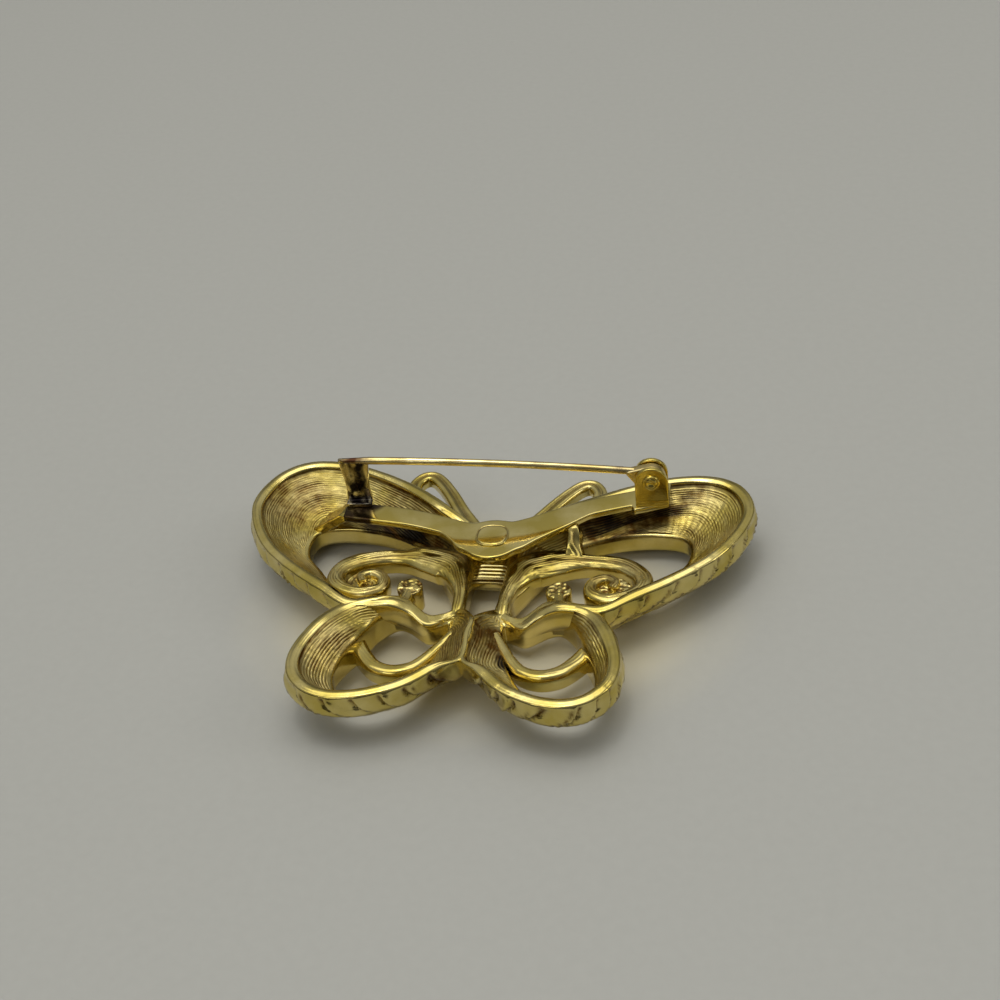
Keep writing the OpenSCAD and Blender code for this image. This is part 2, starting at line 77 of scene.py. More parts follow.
def blendRows(rows, count, closed):
    # Catmull-Rom curve: each sample is the cubic of the four rows round it
    rows = np.asarray(rows, float)
    spans = len(rows) if closed else len(rows) - 1
    s = np.arange(count) * spans / count if closed else np.linspace(0, spans - 1e-6, count)
    k = np.floor(s).astype(int)
    t = (s - k)[:, None]

    def row(step):
        return rows[(k + step) % len(rows)] if closed else rows[np.clip(k + step, 0, len(rows) - 1)]

    a, b, c, d = row(-1), row(0), row(1), row(2)
    return 0.5 * (2 * b + (c - a) * t + (2 * a - 5 * b + 4 * c - d) * t**2
                  + (3 * b - a - 3 * c + d) * t**3)


def unit(vectors):
    # The same directions at length 1
    return vectors / np.linalg.norm(vectors, axis=-1, keepdims=True)


def quarterTurn(flat):
    # Flat vectors turned clockwise by a right angle
    return np.stack([flat[:, 1], -flat[:, 0]], axis=1)


def runningLength(line):
    # Each point's distance from the first, measured along the line
    return np.concatenate([[0], np.cumsum(np.linalg.norm(np.diff(line, axis=0), axis=1))])


def pointsOf(x, y, z):
    # Points from their coordinates, each of which is an array or one number for all
    return np.stack(np.broadcast_arrays(x, y, z), axis=-1)


def bell(value, width):
    # 1 at zero, falling to both sides as e to the minus square of value over width
    return np.exp(-(value / width)**2)


def hump(share):
    # A parabola that is 0 where the share is 0 or 1, and 1 half way
    return 4 * share * (1 - share)


def between(station, low, high):
    # 1 for a section's points from one station to another, 0 for the rest
    return ((station >= low) & (station <= high)).astype(float)[None, :]


def mirrored(points, side):
    # Shapes are worked out for the right side, and the left one has its x turned about
    return points * [-1, 1, 1] if side > 0 else points


def evenRows(rows, count):
    # The closed Catmull-Rom loop, sampled again at even distances along its rim
    fine = blendRows(rows, len(rows) * 24, True)
    fine = np.vstack([fine, fine[:1]])
    along = runningLength(fine[:, :2] * [halfSpan, wingLength])
    target = np.arange(count) * along[-1] / count
    return np.stack([np.interp(target, along, column) for column in fine.T], axis=1), along[-1]


def roundedRings(corners, reach, arcs, lines):
    # Sections with softened corners: corners is (sections, corners, 3). Each corner becomes a
    # quadratic curve that starts reach before it and ends reach after it, and straight runs join
    # them. Also gives each point's station, which is its corner's number plus its share of the run
    before = np.roll(corners, 1, axis=1) - corners
    after = np.roll(corners, -1, axis=1) - corners
    beforeLength = np.linalg.norm(before, axis=2, keepdims=True) + 1e-9
    afterLength = np.linalg.norm(after, axis=2, keepdims=True) + 1e-9
    reach = np.broadcast_to(np.asarray(reach, float), corners.shape[:2])[..., None]
    start = corners + before / beforeLength * np.minimum(reach, beforeLength * 0.48)
    end = corners + after / afterLength * np.minimum(reach, afterLength * 0.48)
    parts, stations = [], []
    total = corners.shape[1]
    for k in range(total):
        t = np.linspace(0, 1, arcs[k])[None, :, None]
        parts.append((1 - t)**2 * start[:, k, None] + 2 * t * (1 - t) * corners[:, k, None]
                     + t**2 * end[:, k, None])
        stations.append(np.full(arcs[k], float(k)))
        t = ((np.arange(lines[k]) + 1) / (lines[k] + 1))[None, :, None]
        parts.append(end[:, k, None] * (1 - t) + start[:, (k + 1) % total, None] * t)
        stations.append(k + t.ravel())
    return np.concatenate(parts, axis=1), np.concatenate(stations)


def gridNormals(points, closedU):
    # Cross product of the grid's two directions, scaled to length 1
    if closedU:
        du = np.roll(points, -1, axis=0) - np.roll(points, 1, axis=0)
    else:
        du = np.gradient(points, axis=0)
    dv = np.roll(points, -1, axis=1) - np.roll(points, 1, axis=1)
    normal = np.cross(du, dv)
    return normal / (np.linalg.norm(normal, axis=2, keepdims=True) + 1e-12)


def distanceAlong(points, start):
    # Running length along each section from the point with index start
    step = np.linalg.norm(np.roll(points, -1, axis=1) - points, axis=2)
    total = np.concatenate([np.zeros((len(points), 1)), np.cumsum(step, axis=1)[:, :-1]], axis=1)
    return total - total[:, start][:, None]


def toFrame(points, turn=0.0, origin=(0.0, 0.0, 0.0)):
    # Turns points about z, moves them by origin, and takes them to the frame's zero
    c, s = math.cos(turn), math.sin(turn)
    x, y, z = points[..., 0], points[..., 1], points[..., 2]
    return pointsOf(x * c - y * s, x * s + y * c, z) + np.array(origin) + np.array(plan["zero"])


def gridPiece(name, rings, material, values, body="brooch", closedU=False):
    # A closed skin over (rings, points, 3): quads between neighbouring rings, which are closed loops.
    # Open ends are closed by a fan about the end ring's middle. The winding is turned if the
    # volume that it holds comes out negative, so that faces point outwards. Each of the values is
    # kept as an attribute that the material reads
    nu, nv = rings.shape[:2]
    index = np.arange(nu * nv).reshape(nu, nv)
    across = np.roll(index, -1, axis=1)
    ahead = np.roll(index, -1, axis=0)
    corner = np.roll(ahead, -1, axis=1)
    rows = nu if closedU else nu - 1
    quads = np.stack([index, across, corner, ahead], axis=2)[:rows].reshape(-1, 4)
    points = rings.reshape(-1, 3)
    fans = np.zeros((0, 3), int)
    if not closedU:
        points = np.vstack([points, rings[0].mean(axis=0), rings[-1].mean(axis=0)])
        first = np.stack([across[0], index[0], np.full(nv, nu * nv)], axis=1)
        last = np.stack([index[-1], across[-1], np.full(nv, nu * nv + 1)], axis=1)
        fans = np.vstack([first, last])
    triangles = np.vstack([quads[:, [0, 1, 2]], quads[:, [0, 2, 3]], fans])
    a, b, c = (points[triangles[:, k]] for k in range(3))
    if np.einsum("ij,ij->i", a, np.cross(b, c)).sum() < 0:
        quads, fans = quads[:, ::-1], fans[:, ::-1]
    mesh = bpy.data.meshes.new(name)
    mesh.vertices.add(len(points))
    mesh.vertices.foreach_set("co", (points / 1000).astype(np.float32).ravel())
    loops = np.concatenate([quads.ravel(), fans.ravel()])
    sizes = np.concatenate([np.full(len(quads), 4), np.full(len(fans), 3)])
    mesh.loops.add(len(loops))
    mesh.loops.foreach_set("vertex_index", loops.astype(np.int32))
    mesh.polygons.add(len(sizes))
    mesh.polygons.foreach_set("loop_start", (np.cumsum(sizes) - sizes).astype(np.int32))
    mesh.polygons.foreach_set("use_smooth", np.ones(len(sizes), bool))
    mesh.update(calc_edges=True)
    for key, value in values.items():
        full = np.zeros(len(points), np.float32)
        full[:nu * nv] = np.broadcast_to(value, (nu, nv)).ravel()
        mesh.attributes.new(key, "FLOAT", "POINT").data.foreach_set("value", full)
    mesh.materials.append(material)
    piece = bpy.data.objects.new(name, mesh)
    bpy.context.scene.collection.objects.link(piece)
    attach(piece, body)
    return piece


# Materials

def setInputs(tree, node, inputs):
    # An input is set to a number or colour, or linked to another node's output
    for key, value in inputs.items():
        if isinstance(value, bpy.types.NodeSocket):
            tree.links.new(value, node.inputs[key])
        else:
            node.inputs[key].default_value = value


def addNode(tree, kind, output, inputs, **settings):
    # Adds a shader node, settings first and then inputs, and gives the named output
    node = tree.nodes.new("ShaderNode" + kind)
    for key, value in settings.items():
        setattr(node, key, value)
    setInputs(tree, node, inputs)
    return node.outputs[output]


def mapRange(tree, value, source, target):
    # The straight line that takes the two ends of source to the two ends of target
    return addNode(tree, "MapRange", "Result", {
        "Value": value,
        "From Min": source[0],
        "From Max": source[1],
        "To Min": target[0],
        "To Max": target[1],
    })


def colourRamp(tree, value, stops, interpolation="LINEAR"):
    # Colours over value, each stop a place and a colour
    colour = addNode(tree, "ValToRGB", "Color", {"Fac": value})
    ramp = colour.node.color_ramp
    ramp.interpolation = interpolation
    while len(ramp.elements) < len(stops):
        ramp.elements.new(0.5)
    for element, (place, tint) in zip(ramp.elements, stops):
        element.position = place
        element.color = (*tint, 1)
    return colour


def goldFinish(name, look):
    # Polished metal. The attribute "pit" browns hollows and grooves, as dirt and as painted shade; a
    # second attribute blackens, as dirt and as painted shade and dark reflection; "grain" dulls what is
    # hatched, and noises in Object coordinates vary tone and roughness and add fine marks
    material = bpy.data.materials.new(name)
    material.use_nodes = True
    tree = material.node_tree

    def noise(vector, scale, detail):
        return addNode(tree, "TexNoise", "Fac", {"Vector": vector, "Scale": scale, "Detail": detail})

    def attribute(word):
        return addNode(tree, "Attribute", "Fac", {}, attribute_name=word)

    def tinted(share, colour, tint):
        inputs = {"Factor": share, "A": colour, "B": (*tint, 1)}
        return addNode(tree, "Mix", "Result", inputs, data_type="RGBA")

    place = addNode(tree, "TexCoord", "Object", {})
    cloud = noise(place, look["cloudScale"], 5.0)
    low, high = look["cloudSpan"]
    colour = colourRamp(tree, cloud, ((low, look["deep"]), (high, look["pale"])))
    speck = noise(place, look["speckScale"], 4.0)
    uneven = mapRange(tree, speck, look["speckSpan"], look["darkeningSpan"])
    factors = {0: attribute("pit"), 1: uneven}
    dirtAndShade = addNode(tree, "Math", "Value", factors, operation="MULTIPLY", use_clamp=True)
    colour = tinted(dirtAndShade, colour, look["brown"])
    colour = tinted(attribute("sootAndShade"), colour, look["sootAndShade"])
    rough = mapRange(tree, speck, (0.0, 1.0), look["roughSpan"])
    for share, amount in ((dirtAndShade, look["pitRough"]), (attribute("grain"), look["grainRough"])):
        rough = addNode(tree, "Math", "Value", {0: share, 1: amount, 2: rough}, operation="MULTIPLY_ADD")
    stretched = addNode(tree, "Mapping", "Vector", {"Vector": place, "Scale": look["markStretch"]})
    marks = addNode(tree, "Bump", "Normal", {
        "Height": noise(stretched, look["markScale"], 3.0),
        "Strength": look["markStrength"],
        "Distance": look["markDepth"],
    })
    setInputs(tree, tree.nodes["Principled BSDF"], {
        "Metallic": 1.0,
        "Coat Weight": look["coat"],
        "Coat Roughness": look["coatRough"],
        "Base Color": colour,
        "Roughness": rough,
        "Normal": marks,
    })
    return material


giltLook = {
    "deep": (0.59, 0.465, 0.105),
    "pale": (0.77, 0.64, 0.25),
    "brown": (0.12, 0.055, 0.005),
    "sootAndShade": (0.012, 0.009, 0.006),
    "coat": 0.15,
    "coatRough": 0.08,
    "cloudScale": 220.0,
    "cloudSpan": (0.38, 0.62),  # the noise's values at the deep and the pale tone
    "speckScale": 900.0,
    "speckSpan": (0.3, 0.7),  # the noise's values where the browning, dirt and painted shade, is thinnest and thickest
    "darkeningSpan": (0.55, 1.25),  # and what that browning is multiplied by there
    "roughSpan": (0.05, 0.30),
    "pitRough": 0.16,
    "grainRough": 0.14,
    "markStretch": (1.0, 1.0, 1.0),
    "markScale": 1400.0,
    "markStrength": 0.35,
    "markDepth": 0.00005,
}
findingLook = dict(
    giltLook,
    deep=(0.66, 0.51, 0.10),
    pale=(0.80, 0.64, 0.17),
    roughSpan=(0.10, 0.22),
)
stemLook = dict(
    giltLook,
    deep=(0.70, 0.54, 0.20),
    pale=(0.90, 0.76, 0.38),
    brown=(0.10, 0.035, 0.012),
    cloudScale=260.0,
    roughSpan=(0.12, 0.24),
    markStretch=(0.08, 1.0, 1.0),
)
catchLook = dict(
    giltLook,
    deep=(0.60, 0.50, 0.30),
    pale=(0.80, 0.72, 0.52),
    brown=(0.012, 0.008, 0.010),
    cloudScale=500.0,
    roughSpan=(0.10, 0.22),
    pitRough=0.05,
)
barLook = dict(giltLook, roughSpan=(0.06, 0.12), markStrength=0.03)
giltCast = goldFinish("giltCast", giltLook)
giltBar = goldFinish("giltBar", barLook)
giltFinding = goldFinish("giltFinding", findingLook)
giltWire = goldFinish("giltWire", stemLook)
darkCatch = goldFinish("darkCatch", catchLook)
print("finishes made")


# Wings. Each row is one section: rim x, rim y, opening x, opening y, rim height, lead, face, fill.
# x is a share of half the span, y of the wing's length, rim height of the hollow's depth. Lead is
# how far the section follows the skew of the leading edge, face is a share of the dome, and fill
# says how far the hollow is a shallow sheet, level with the band.
foreRows = [
    (0.070, 0.068, 0.235, 0.018, 0.60, 0.0, 0.3, 0.0),
    (0.061, -0.040, 0.215, -0.036, 0.15, 0.0, 0.0, 0.0),
    (0.061, -0.117, 0.160, -0.114, 0.15, 0.0, 0.0, 0.0),
    (0.061, -0.181, 0.115, -0.181, 0.20, 0.0, 0.0, 0.0),
    (0.061, -0.244, 0.120, -0.235, 0.20, 0.0, 0.0, 0.0),
    (0.118, -0.285, 0.139, -0.256, 0.22, 0.0, 0.5, 0.0),
    (0.181, -0.316, 0.174, -0.272, 0.30, 0.0, 1.0, 0.0),
    (0.250, -0.293, 0.229, -0.238, 0.60, 0.0, 1.2, 0.0),
    (0.319, -0.292, 0.305, -0.238, 0.88, 0.0, 1.3, 0.0),
    (0.400, -0.296, 0.382, -0.223, 0.88, 0.0, 1.3, 0.0),
    (0.486, -0.298, 0.472, -0.218, 0.93, 0.0, 1.4, 0.0),
    (0.601, -0.241, 0.542, -0.179, 1.00, 0.0, 1.5, 0.0),
    (0.701, -0.187, 0.608, -0.127, 1.00, 0.0, 1.4, 0.0),
    (0.809, -0.119, 0.670, -0.067, 1.00, 0.0, 1.2, 0.0),
    (0.896, -0.047, 0.729, -0.016, 1.00, 0.0, 0.9, 0.0),
    (0.965, 0.047, 0.750, 0.026, 1.00, 0.0, 0.5, 0.0),
    (1.000, 0.140, 0.753, 0.067, 1.00, 0.0, 0.1, 0.0),
    (0.986, 0.218, 0.740, 0.098, 1.00, 0.2, 0.0, 0.0),
    (0.931, 0.290, 0.705, 0.117, 1.00, 0.6, 0.0, 0.0),
    (0.833, 0.331, 0.653, 0.124, 1.00, 0.9, 0.0, 0.0),
    (0.694, 0.330, 0.583, 0.124, 1.00, 1.0, 0.0, 0.0),
    (0.535, 0.290, 0.493, 0.114, 1.00, 1.0, 0.1, 0.0),
    (0.365, 0.223, 0.403, 0.091, 1.00, 0.9, 0.4, 0.0),
    (0.208, 0.140, 0.319, 0.057, 1.00, 0.5, 0.5, 0.0),
]
hindRows = [
    (0.061, -0.235, 0.104, -0.290, 0.25, 0.0, 0.2, 0.3),
    (-0.008, -0.325, 0.104, -0.326, 0.80, 0.0, 0.4, 0.2),
    (-0.008, -0.389, 0.115, -0.380, 0.88, 0.0, 0.9, 0.2),
    (-0.008, -0.490, 0.139, -0.433, 0.88, 0.0, 1.5, 0.0),
    (0.059, -0.541, 0.167, -0.477, 1.00, 0.0, 1.8, 0.0),
    (0.115, -0.585, 0.201, -0.518, 1.00, 0.0, 1.8, 0.0),
    (0.174, -0.622, 0.243, -0.554, 1.00, 0.0, 1.8, 0.0),
    (0.250, -0.650, 0.292, -0.578, 1.00, 0.0, 1.8, 0.0),
    (0.330, -0.668, 0.340, -0.588, 1.00, 0.0, 1.8, 0.0),
    (0.417, -0.671, 0.389, -0.588, 1.00, 0.0, 1.8, 0.0),
    (0.493, -0.653, 0.431, -0.575, 1.00, 0.0, 1.8, 0.0),
    (0.556, -0.611, 0.458, -0.552, 1.00, 0.0, 1.8, 0.1),
    (0.590, -0.560, 0.472, -0.518, 1.00, 0.0, 1.8, 0.3),
    (0.597, -0.500, 0.465, -0.477, 1.00, 0.0, 1.6, 0.6),
    (0.580, -0.435, 0.444, -0.435, 1.00, 0.0, 1.5, 0.9),
    (0.542, -0.363, 0.417, -0.396, 1.00, 0.0, 1.4, 1.0),
    (0.486, -0.295, 0.392, -0.347, 0.88, 0.0, 1.4, 1.0),
    (0.417, -0.264, 0.368, -0.311, 0.88, 0.0, 1.3, 0.9),
    (0.333, -0.249, 0.312, -0.267, 0.85, 0.0, 1.3, 0.5),
    (0.264, -0.231, 0.264, -0.275, 0.60, 0.0, 1.2, 0.3),
    (0.181, -0.267, 0.188, -0.316, 0.30, 0.0, 1.0, 0.3),
    (0.125, -0.259, 0.139, -0.303, 0.25, 0.0, 0.6, 0.3),
]
wingLook = {
    "band": 1.3,  # width of the smooth band
    "bandCrown": 0.10,
    "step": 0.5,  # drop from the band to the hatching
    "rimRound": 0.42,
    "wallHeight": 3.3,
    "wallTuck": 0.7,
    "leafHeight": 0.75,
    "leafSink": 0.3,  # share of that height that lies below the wall
    "leafReach": 0.42,  # farthest that a leaf can stand out
    "leafTip": (0.80, 0.995),  # where a leaf falls off to the next, as shares of its length
    "leafSwell": 0.45,  # how far leaves differ in height
    "leafUneven": 0.34,  # and in length
    "leafSlant": 0.85,  # how far a leaf leans, as a share of its length
    "leafBelly": 0.38,  # and how far its edge bulges half way down
    "leafTilt": 0.8,  # largest lean of a leaf's face in or out
    "veinHeight": 0.03,
    "cut": 0.28,  # depth of the groove between two leaves
    "cutWidth": 0.08,
    "slit": 0.16,  # depth of the slit beside it
    "slitAt": 0.70,
    "slitWidth": 0.06,
    "pitDepth": 0.15,
    "hatchPitch": 0.36,
    "hatchDepth": 0.045,
    "hatchWander": 0.4,
    "hatchShake": 0.05,
    "roughDepth": 0.014,  # height of the fine roughness between the strokes
    "faceRipple": 0.16,
    "browning": 1.0,
}
foreLook = dict(wingLook, around=340, hollowSteps=98, bendSteps=22, leaves=28, seed=20,
                hatchPitch=0.31, hatchDepth=0.035, browning=0.75)
hindLook = dict(wingLook, around=320, hollowSteps=150, bendSteps=26, leaves=21, seed=60)
# Dark patches in the hollows, partly old dirt and partly painted shade and dark reflection under the bar: x
# and y in the plan, reach along and across, direction, strength
shadeAndDirtPatches = {
    "right": (
        (12.4, 5.2, 3.4, 1.2, 0.30, 1.0),
        (17.0, 6.8, 3.2, 1.2, 0.38, 0.95),
        (21.3, 9.4, 1.8, 1.0, 0.60, 0.65),
        (9.3, 0.6, 1.3, 1.1, 0.3, 0.6),
        (3.9, -12.8, 0.6, 1.5, 0.2, 0.8),
        (3.8, -16.6, 0.9, 1.4, 0.4, 0.8),
    ),
    "left": (
        (-12.5, 4.6, 4.8, 1.3, -0.27, 1.2),
        (-8.2, 2.6, 2.6, 1.3, -0.35, 1.0),
        (-5.6, 0.6, 1.3, 1.4, -0.6, 0.7),
        (-17.5, 8.2, 1.5, 1.6, 0.2, 0.6),
    ),
}
# How brown the strokes of each side are all over
haze = {"right": 1.05, "left": 0.85}


def shadeAndDirtAmount(points, places, seed):
    # Sum of soft ellipses, each e to the minus fourth power of the distance over its reach, broken
    # up by random waves
    x, y = points[..., 0], points[..., 1]
    total = 0
    for atX, atY, along, across, turn, amount in places:
        c, s = math.cos(turn), math.sin(turn)
        u = ((x - atX) * c + (y - atY) * s) / along
        v = ((y - atY) * c - (x - atX) * s) / across
        total = total + amount * bell(u**2 + v**2, 1)
    return total * np.clip(0.95 + 0.35 * waves(x * 1.6, y * 1.6, seed), 0.3, 1.3)


def wingRings(samples, look, reach, lead):
    # The section, a loop of 11 softened corners, is carried round the rim. Also gives each point's
    # station and how far down the outer wall it lies, and for each section the run from rim to
    # opening and how strongly it is stepped and crowned
    rimHeight, follow, faceShare, fill = samples[:, 4:].T
    rim = np.stack([samples[:, 0] * reach, samples[:, 1] * wingLength + lead * follow], axis=1)
    opening = samples[:, 2:4] * [halfSpan, wingLength]
    out = quarterTurn(unit(np.roll(rim, -1, axis=0) - np.roll(rim, 1, axis=0)))
    run = np.linalg.norm(opening - rim, axis=1)
    inward = (opening - rim) / run[:, None]
    # the two hindwings share one narrow ridge where they meet
    middle = smoothStep(0.0, 0.10, samples[:, 0])
    deep = smoothStep(0.4, 0.9, rimHeight)
    band = np.minimum(look["band"], run * 0.7) * (0.45 + 0.55 * middle)
    rest = run - band
    top = floorZ + hollow * rimHeight
    sink = top - floorZ
    crest = np.maximum(dome * faceShare, 0.02)
    foot = np.maximum(top - look["wallHeight"], crest + 0.3)
    wall = top - foot
    resting = 1 - smoothStep(0.05, 0.4, faceShare)
    drop = look["step"] * deep * smoothStep(1.6, 3.4, run) * (1 - 0.75 * fill)

    def corner(inset, height, outset=0.0):
        flat = rim + inward * np.broadcast_to(inset, run.shape)[:, None] + out * outset
        return pointsOf(flat[:, 0], flat[:, 1], height)

    corners = np.stack([
        corner(0.0, top),  # the band's outer edge, and its inner one
        corner(band, top - 0.08),
        corner(band + np.minimum(0.18, rest * 0.1), top - 0.1 - drop),  # foot of the step
        corner(band + rest * 0.30, floorZ + sink * (0.50 + 0.40 * fill)),  # slope of the hollow
        corner(band + rest * 0.65, floorZ + sink * (0.16 + 0.60 * fill)),
        corner(run, floorZ + sink * 0.4 * fill),  # edge of the opening, above and below
        corner(run + 0.1, np.maximum(dome, crest - 0.6)),
        corner(run * 0.55, crest - 0.5 * resting),  # the face
        corner(np.minimum(look["wallTuck"], run * 0.3), foot),  # the outer wall, going up
        corner(0.0, top - wall * 0.72),
        corner(0.0, top - wall * 0.35, 0.1),
    ], axis=1)
    third, bends = look["hollowSteps"] // 3, look["bendSteps"]
    rounding = [look["rimRound"], 0.16, 0.22, 0.9, 0.9, 0.3, 0.5, 1.6, 0.5, 0.7, 0.5]
    rings, station = roundedRings(corners, rounding, [6, 4, 4, bends, bends, 5, 4, 5, 5, 4, 4],
                                  [7, 1, third, third, third, 7, 8, 8, 7, 5, 5])
    down = np.clip((top[:, None] - rings[..., 2]) / wall[:, None], 0, 1)
    return rings, station, down, run, deep[:, None], middle[:, None]


def leafRelief(along, down, length, look, seed):
    # Leaves are slanted saw teeth of the distance along the rim, held to their reach by a tanh,
    # with a groove between two, a slit beside it, veins and pits. Also gives how much those grooves,
    # slits and pits are browned, and the distance counted in leaves
    lean = look["leafSlant"] * (down - 0.5) - look["leafBelly"] * (1 - (2 * down - 0.9)**2)
    uneven = look["leafUneven"] * waves(along * 0.5, down * 0.6, seed)
    place = along / length * look["leaves"] + lean + uneven
    number = np.floor(place)
    phase = place - number
    tooth = phase**1.4 * (1 - smoothStep(*look["leafTip"], phase)) - look["leafSink"]
    # each leaf has its own height and lean, which a fast sine of its number scatters
    swell = 1 + look["leafSwell"] * np.sin(number * 78.233 + look["seed"])
    tilt = np.sin(number * 12.9898 + look["seed"]) * (down - 0.35)
    lift = look["leafHeight"] * swell * tooth + look["leafTilt"] * tilt
    groove = bell(np.minimum(phase, 1 - phase), look["cutWidth"]) * smoothStep(0.0, 0.15, down)
    patchy = smoothStep(0.1, 0.7, waves(along * 0.9, down * 2, seed + 11)) * smoothStep(0.12, 0.3, down)
    slit = bell(phase - look["slitAt"], look["slitWidth"]) * patchy
    veined = smoothStep(0.1, 0.3, phase) * (1 - smoothStep(0.7, 0.85, phase))
    veined = veined * smoothStep(-0.2, 0.6, waves(along * 1.1, down * 3, seed + 7))
    vein = np.sin(2 * math.pi * (phase * 3.0 + 0.5 * down)) * veined
    pits = np.clip(waves(along * 1.4, down * 4, seed + 1) - 0.9, 0, 1) * smoothStep(0.1, 0.3, down)
    belly = (0.03 + 0.97 * smoothStep(0.05, 0.38, down)) * (1 - 0.75 * smoothStep(0.65, 1.0, down))
    raised = look["leafReach"] * np.tanh(lift / look["leafReach"]) + look["veinHeight"] * vein
    carved = look["cut"] * groove + look["slit"] * slit + look["pitDepth"] * pits
    return belly * (raised - carved), 0.95 * groove + 0.8 * slit + pits, place


def hatchRelief(along, inFrom, look, seed):
    # Strokes are sine waves of the distance in from the rim, bent by random waves, and cut deeper
    # where the sine is low, each by an amount of its own. Also gives the strokes, the cuts and how
    # broken both are
    wander = look["hatchWander"] * waves(along * 0.5, inFrom * 0.4, seed + 2)
    wander = wander + look["hatchShake"] * waves(along * 2.4, inFrom * 1.8, seed + 3)
    turn = inFrom / look["hatchPitch"] + wander
    stroke = np.sin(2 * math.pi * turn)
    own = np.sin(np.floor(turn + 0.25) * 7.31 + 2.5 * waves(along * 0.4, inFrom * 0.1, seed + 12))
    cut = smoothStep(0.1, 0.9, -stroke) * (0.55 + 0.45 * own)
    broken = 0.45 + 0.55 * smoothStep(-1.2, 0.2, waves(along * 1.1, inFrom * 6.0, seed + 4))
    relief = look["hatchDepth"] * broken * (0.5 * stroke - 1.2 * cut)
    relief = relief + look["roughDepth"] * waves(along * 6.0, inFrom * 10.0, seed + 8)
    return relief, stroke, cut * broken, broken


def wingPiece(name, rows, look, side, reach, lead, raised=0.0):
    # The carried section is moved along its normals: by leaves on the outer wall, hatching in the
    # hollow, a parabola as the band's crown and a sine wave on the face. Creases, strokes and
    # grooves are browned
    word = "left" if side > 0 else "right"
    seed = look["seed"] + (5 if side > 0 else 0)
    samples, length = evenRows(rows, look["around"])
    rings, station, down, run, deep, middle = wingRings(samples, look, reach, lead)
    along = (np.arange(look["around"]) * length / look["around"])[:, None]
    fromBand = distanceAlong(rings, int(np.argmax(station >= 2)))
    toEdge = fromBand[:, [int(np.argmax(station >= 5))]] - fromBand
    rimHeight = samples[:, 4][:, None]
    inFrom = fromBand - (1 - smoothStep(0.2, 0.55, rimHeight)) * run[:, None]
    onWall = smoothStep(0.9, 0.98, rimHeight) * (between(station, 8, 11) + between(station, 0, 0.49))
    inHollow = between(station, 2, 5)
    hatched = inHollow * smoothStep(0.05, 0.3, fromBand) * smoothStep(0.1, 0.4, toEdge)
    leaves, leafDark, place = leafRelief(along, down, length, look, seed)
    strokes, stroke, cuts, broken = hatchRelief(along, inFrom, look, seed)
    crown = look["bandCrown"] * hump(np.clip(station, 0, 1)) * deep * middle
    onFace = smoothStep(6, 6.6, station) * (1 - smoothStep(7.4, 8, station))
    ripple = look["faceRipple"] * (0.5 + 0.5 * np.sin(place * 2 * math.pi)) * onFace
    relief = onWall * leaves + hatched * strokes + crown - ripple
    rings = rings + gridNormals(rings, True) * relief[..., None]
    rings[..., 2] = np.maximum(rings[..., 2], 0.0) + raised
    rings = mirrored(rings, side)
    # brown in the crease under the band, there as painted shade, in strokes and in clouds, and
    # black in patches that are partly dirt, partly painted shade and dark reflection under the bar
    crease = inHollow * bell(fromBand, 0.25) * deep
    cloudy = np.clip(0.45 + 0.45 * waves(along * 0.35, inFrom * 0.5, seed + 6), 0, 1)
    hazy = haze[word] * inHollow * smoothStep(0.2, 0.9, deep) * cloudy
    # black patches along the bar are painted shade and dark reflection of its underside, with some dirt
    dirtAndShade = inHollow * shadeAndDirtAmount(rings, shadeAndDirtPatches[word], seed + 9)
    streak = smoothStep(-0.9, -0.1, waves(along * 0.35, inFrom * 3.2, seed + 10))
    lined = 0.4 + 0.6 * smoothStep(-0.7, 0.2, -stroke)
    pit = 0.7 * crease + 0.8 * dirtAndShade + look["browning"] * (0.95 * hatched * cuts + hazy)
    pit = pit + onWall * leafDark + 0.12 * between(station, 5.01, 5.99)
    return gridPiece(name, toFrame(rings), giltCast, closedU=True, values={
        "pit": np.clip(pit, 0, 1),
        "sootAndShade": np.clip(1.3 * dirtAndShade * streak * lined, 0, 0.97),
        "grain": hatched * (0.4 + 0.6 * broken),
    })


sides = ((-1, "right"), (1, "left"))
# How far the left side was cast off the right one, and how much higher its hindwing
skew = {"lead": 1.0, "fore": 0.3, "hind": 1.4, "rise": 0.07}
for side, word in sides:
    wingPiece(word + "Forewing", foreRows, foreLook, side,
                           halfSpan + side * skew["fore"], side * skew["lead"])
    wingPiece(word + "Hindwing", hindRows, hindLook, side,
                           halfSpan + side * skew["hind"], 0.0, skew["rise"] if side > 0 else 0.0)
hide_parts("butterfly")
print("wings made")


# Scrolls and antennae: x and y as above, width share, height of the top above the lift
foreArmRows = [
    (0.088, -0.275, 0.50, 0.04),
    (0.086, -0.235, 0.60, 0.22),
    (0.088, -0.175, 0.72, 0.26),
    (0.108, -0.112, 1.10, 0.27),
    (0.152, -0.045, 2.00, 0.26),
    (0.268, -0.008, 1.70, 0.20),
    (0.365, -0.003, 0.98, 0.15),
    (0.450, -0.009, 1.00, 0.16),
    (0.524, -0.029, 1.00, 0.20),
    (0.583, -0.073, 0.95, 0.26),
    (0.590, -0.127, 0.85, 0.30),
    (0.542, -0.168, 0.78, 0.32),
    (0.469, -0.182, 0.72, 0.32),
    (0.406, -0.159, 0.68, 0.30),
    (0.403, -0.117, 0.62, 0.30),
    (0.451, -0.096, 0.55, 0.32),
    (0.490, -0.114, 0.48, 0.36),
    (0.479, -0.140, 0.42, 0.38),
]
hindArmRows = [
    (0.430, -0.375, 1.20, 0.16),
    (0.389, -0.420, 1.12, 0.12),
    (0.337, -0.461, 1.06, 0.12),
    (0.271, -0.477, 1.00, 0.12),
    (0.208, -0.464, 0.90, 0.12),
    (0.163, -0.430, 0.80, 0.12),
    (0.118, -0.378, 0.72, 0.14),
    (0.080, -0.330, 0.66, 0.18),
]
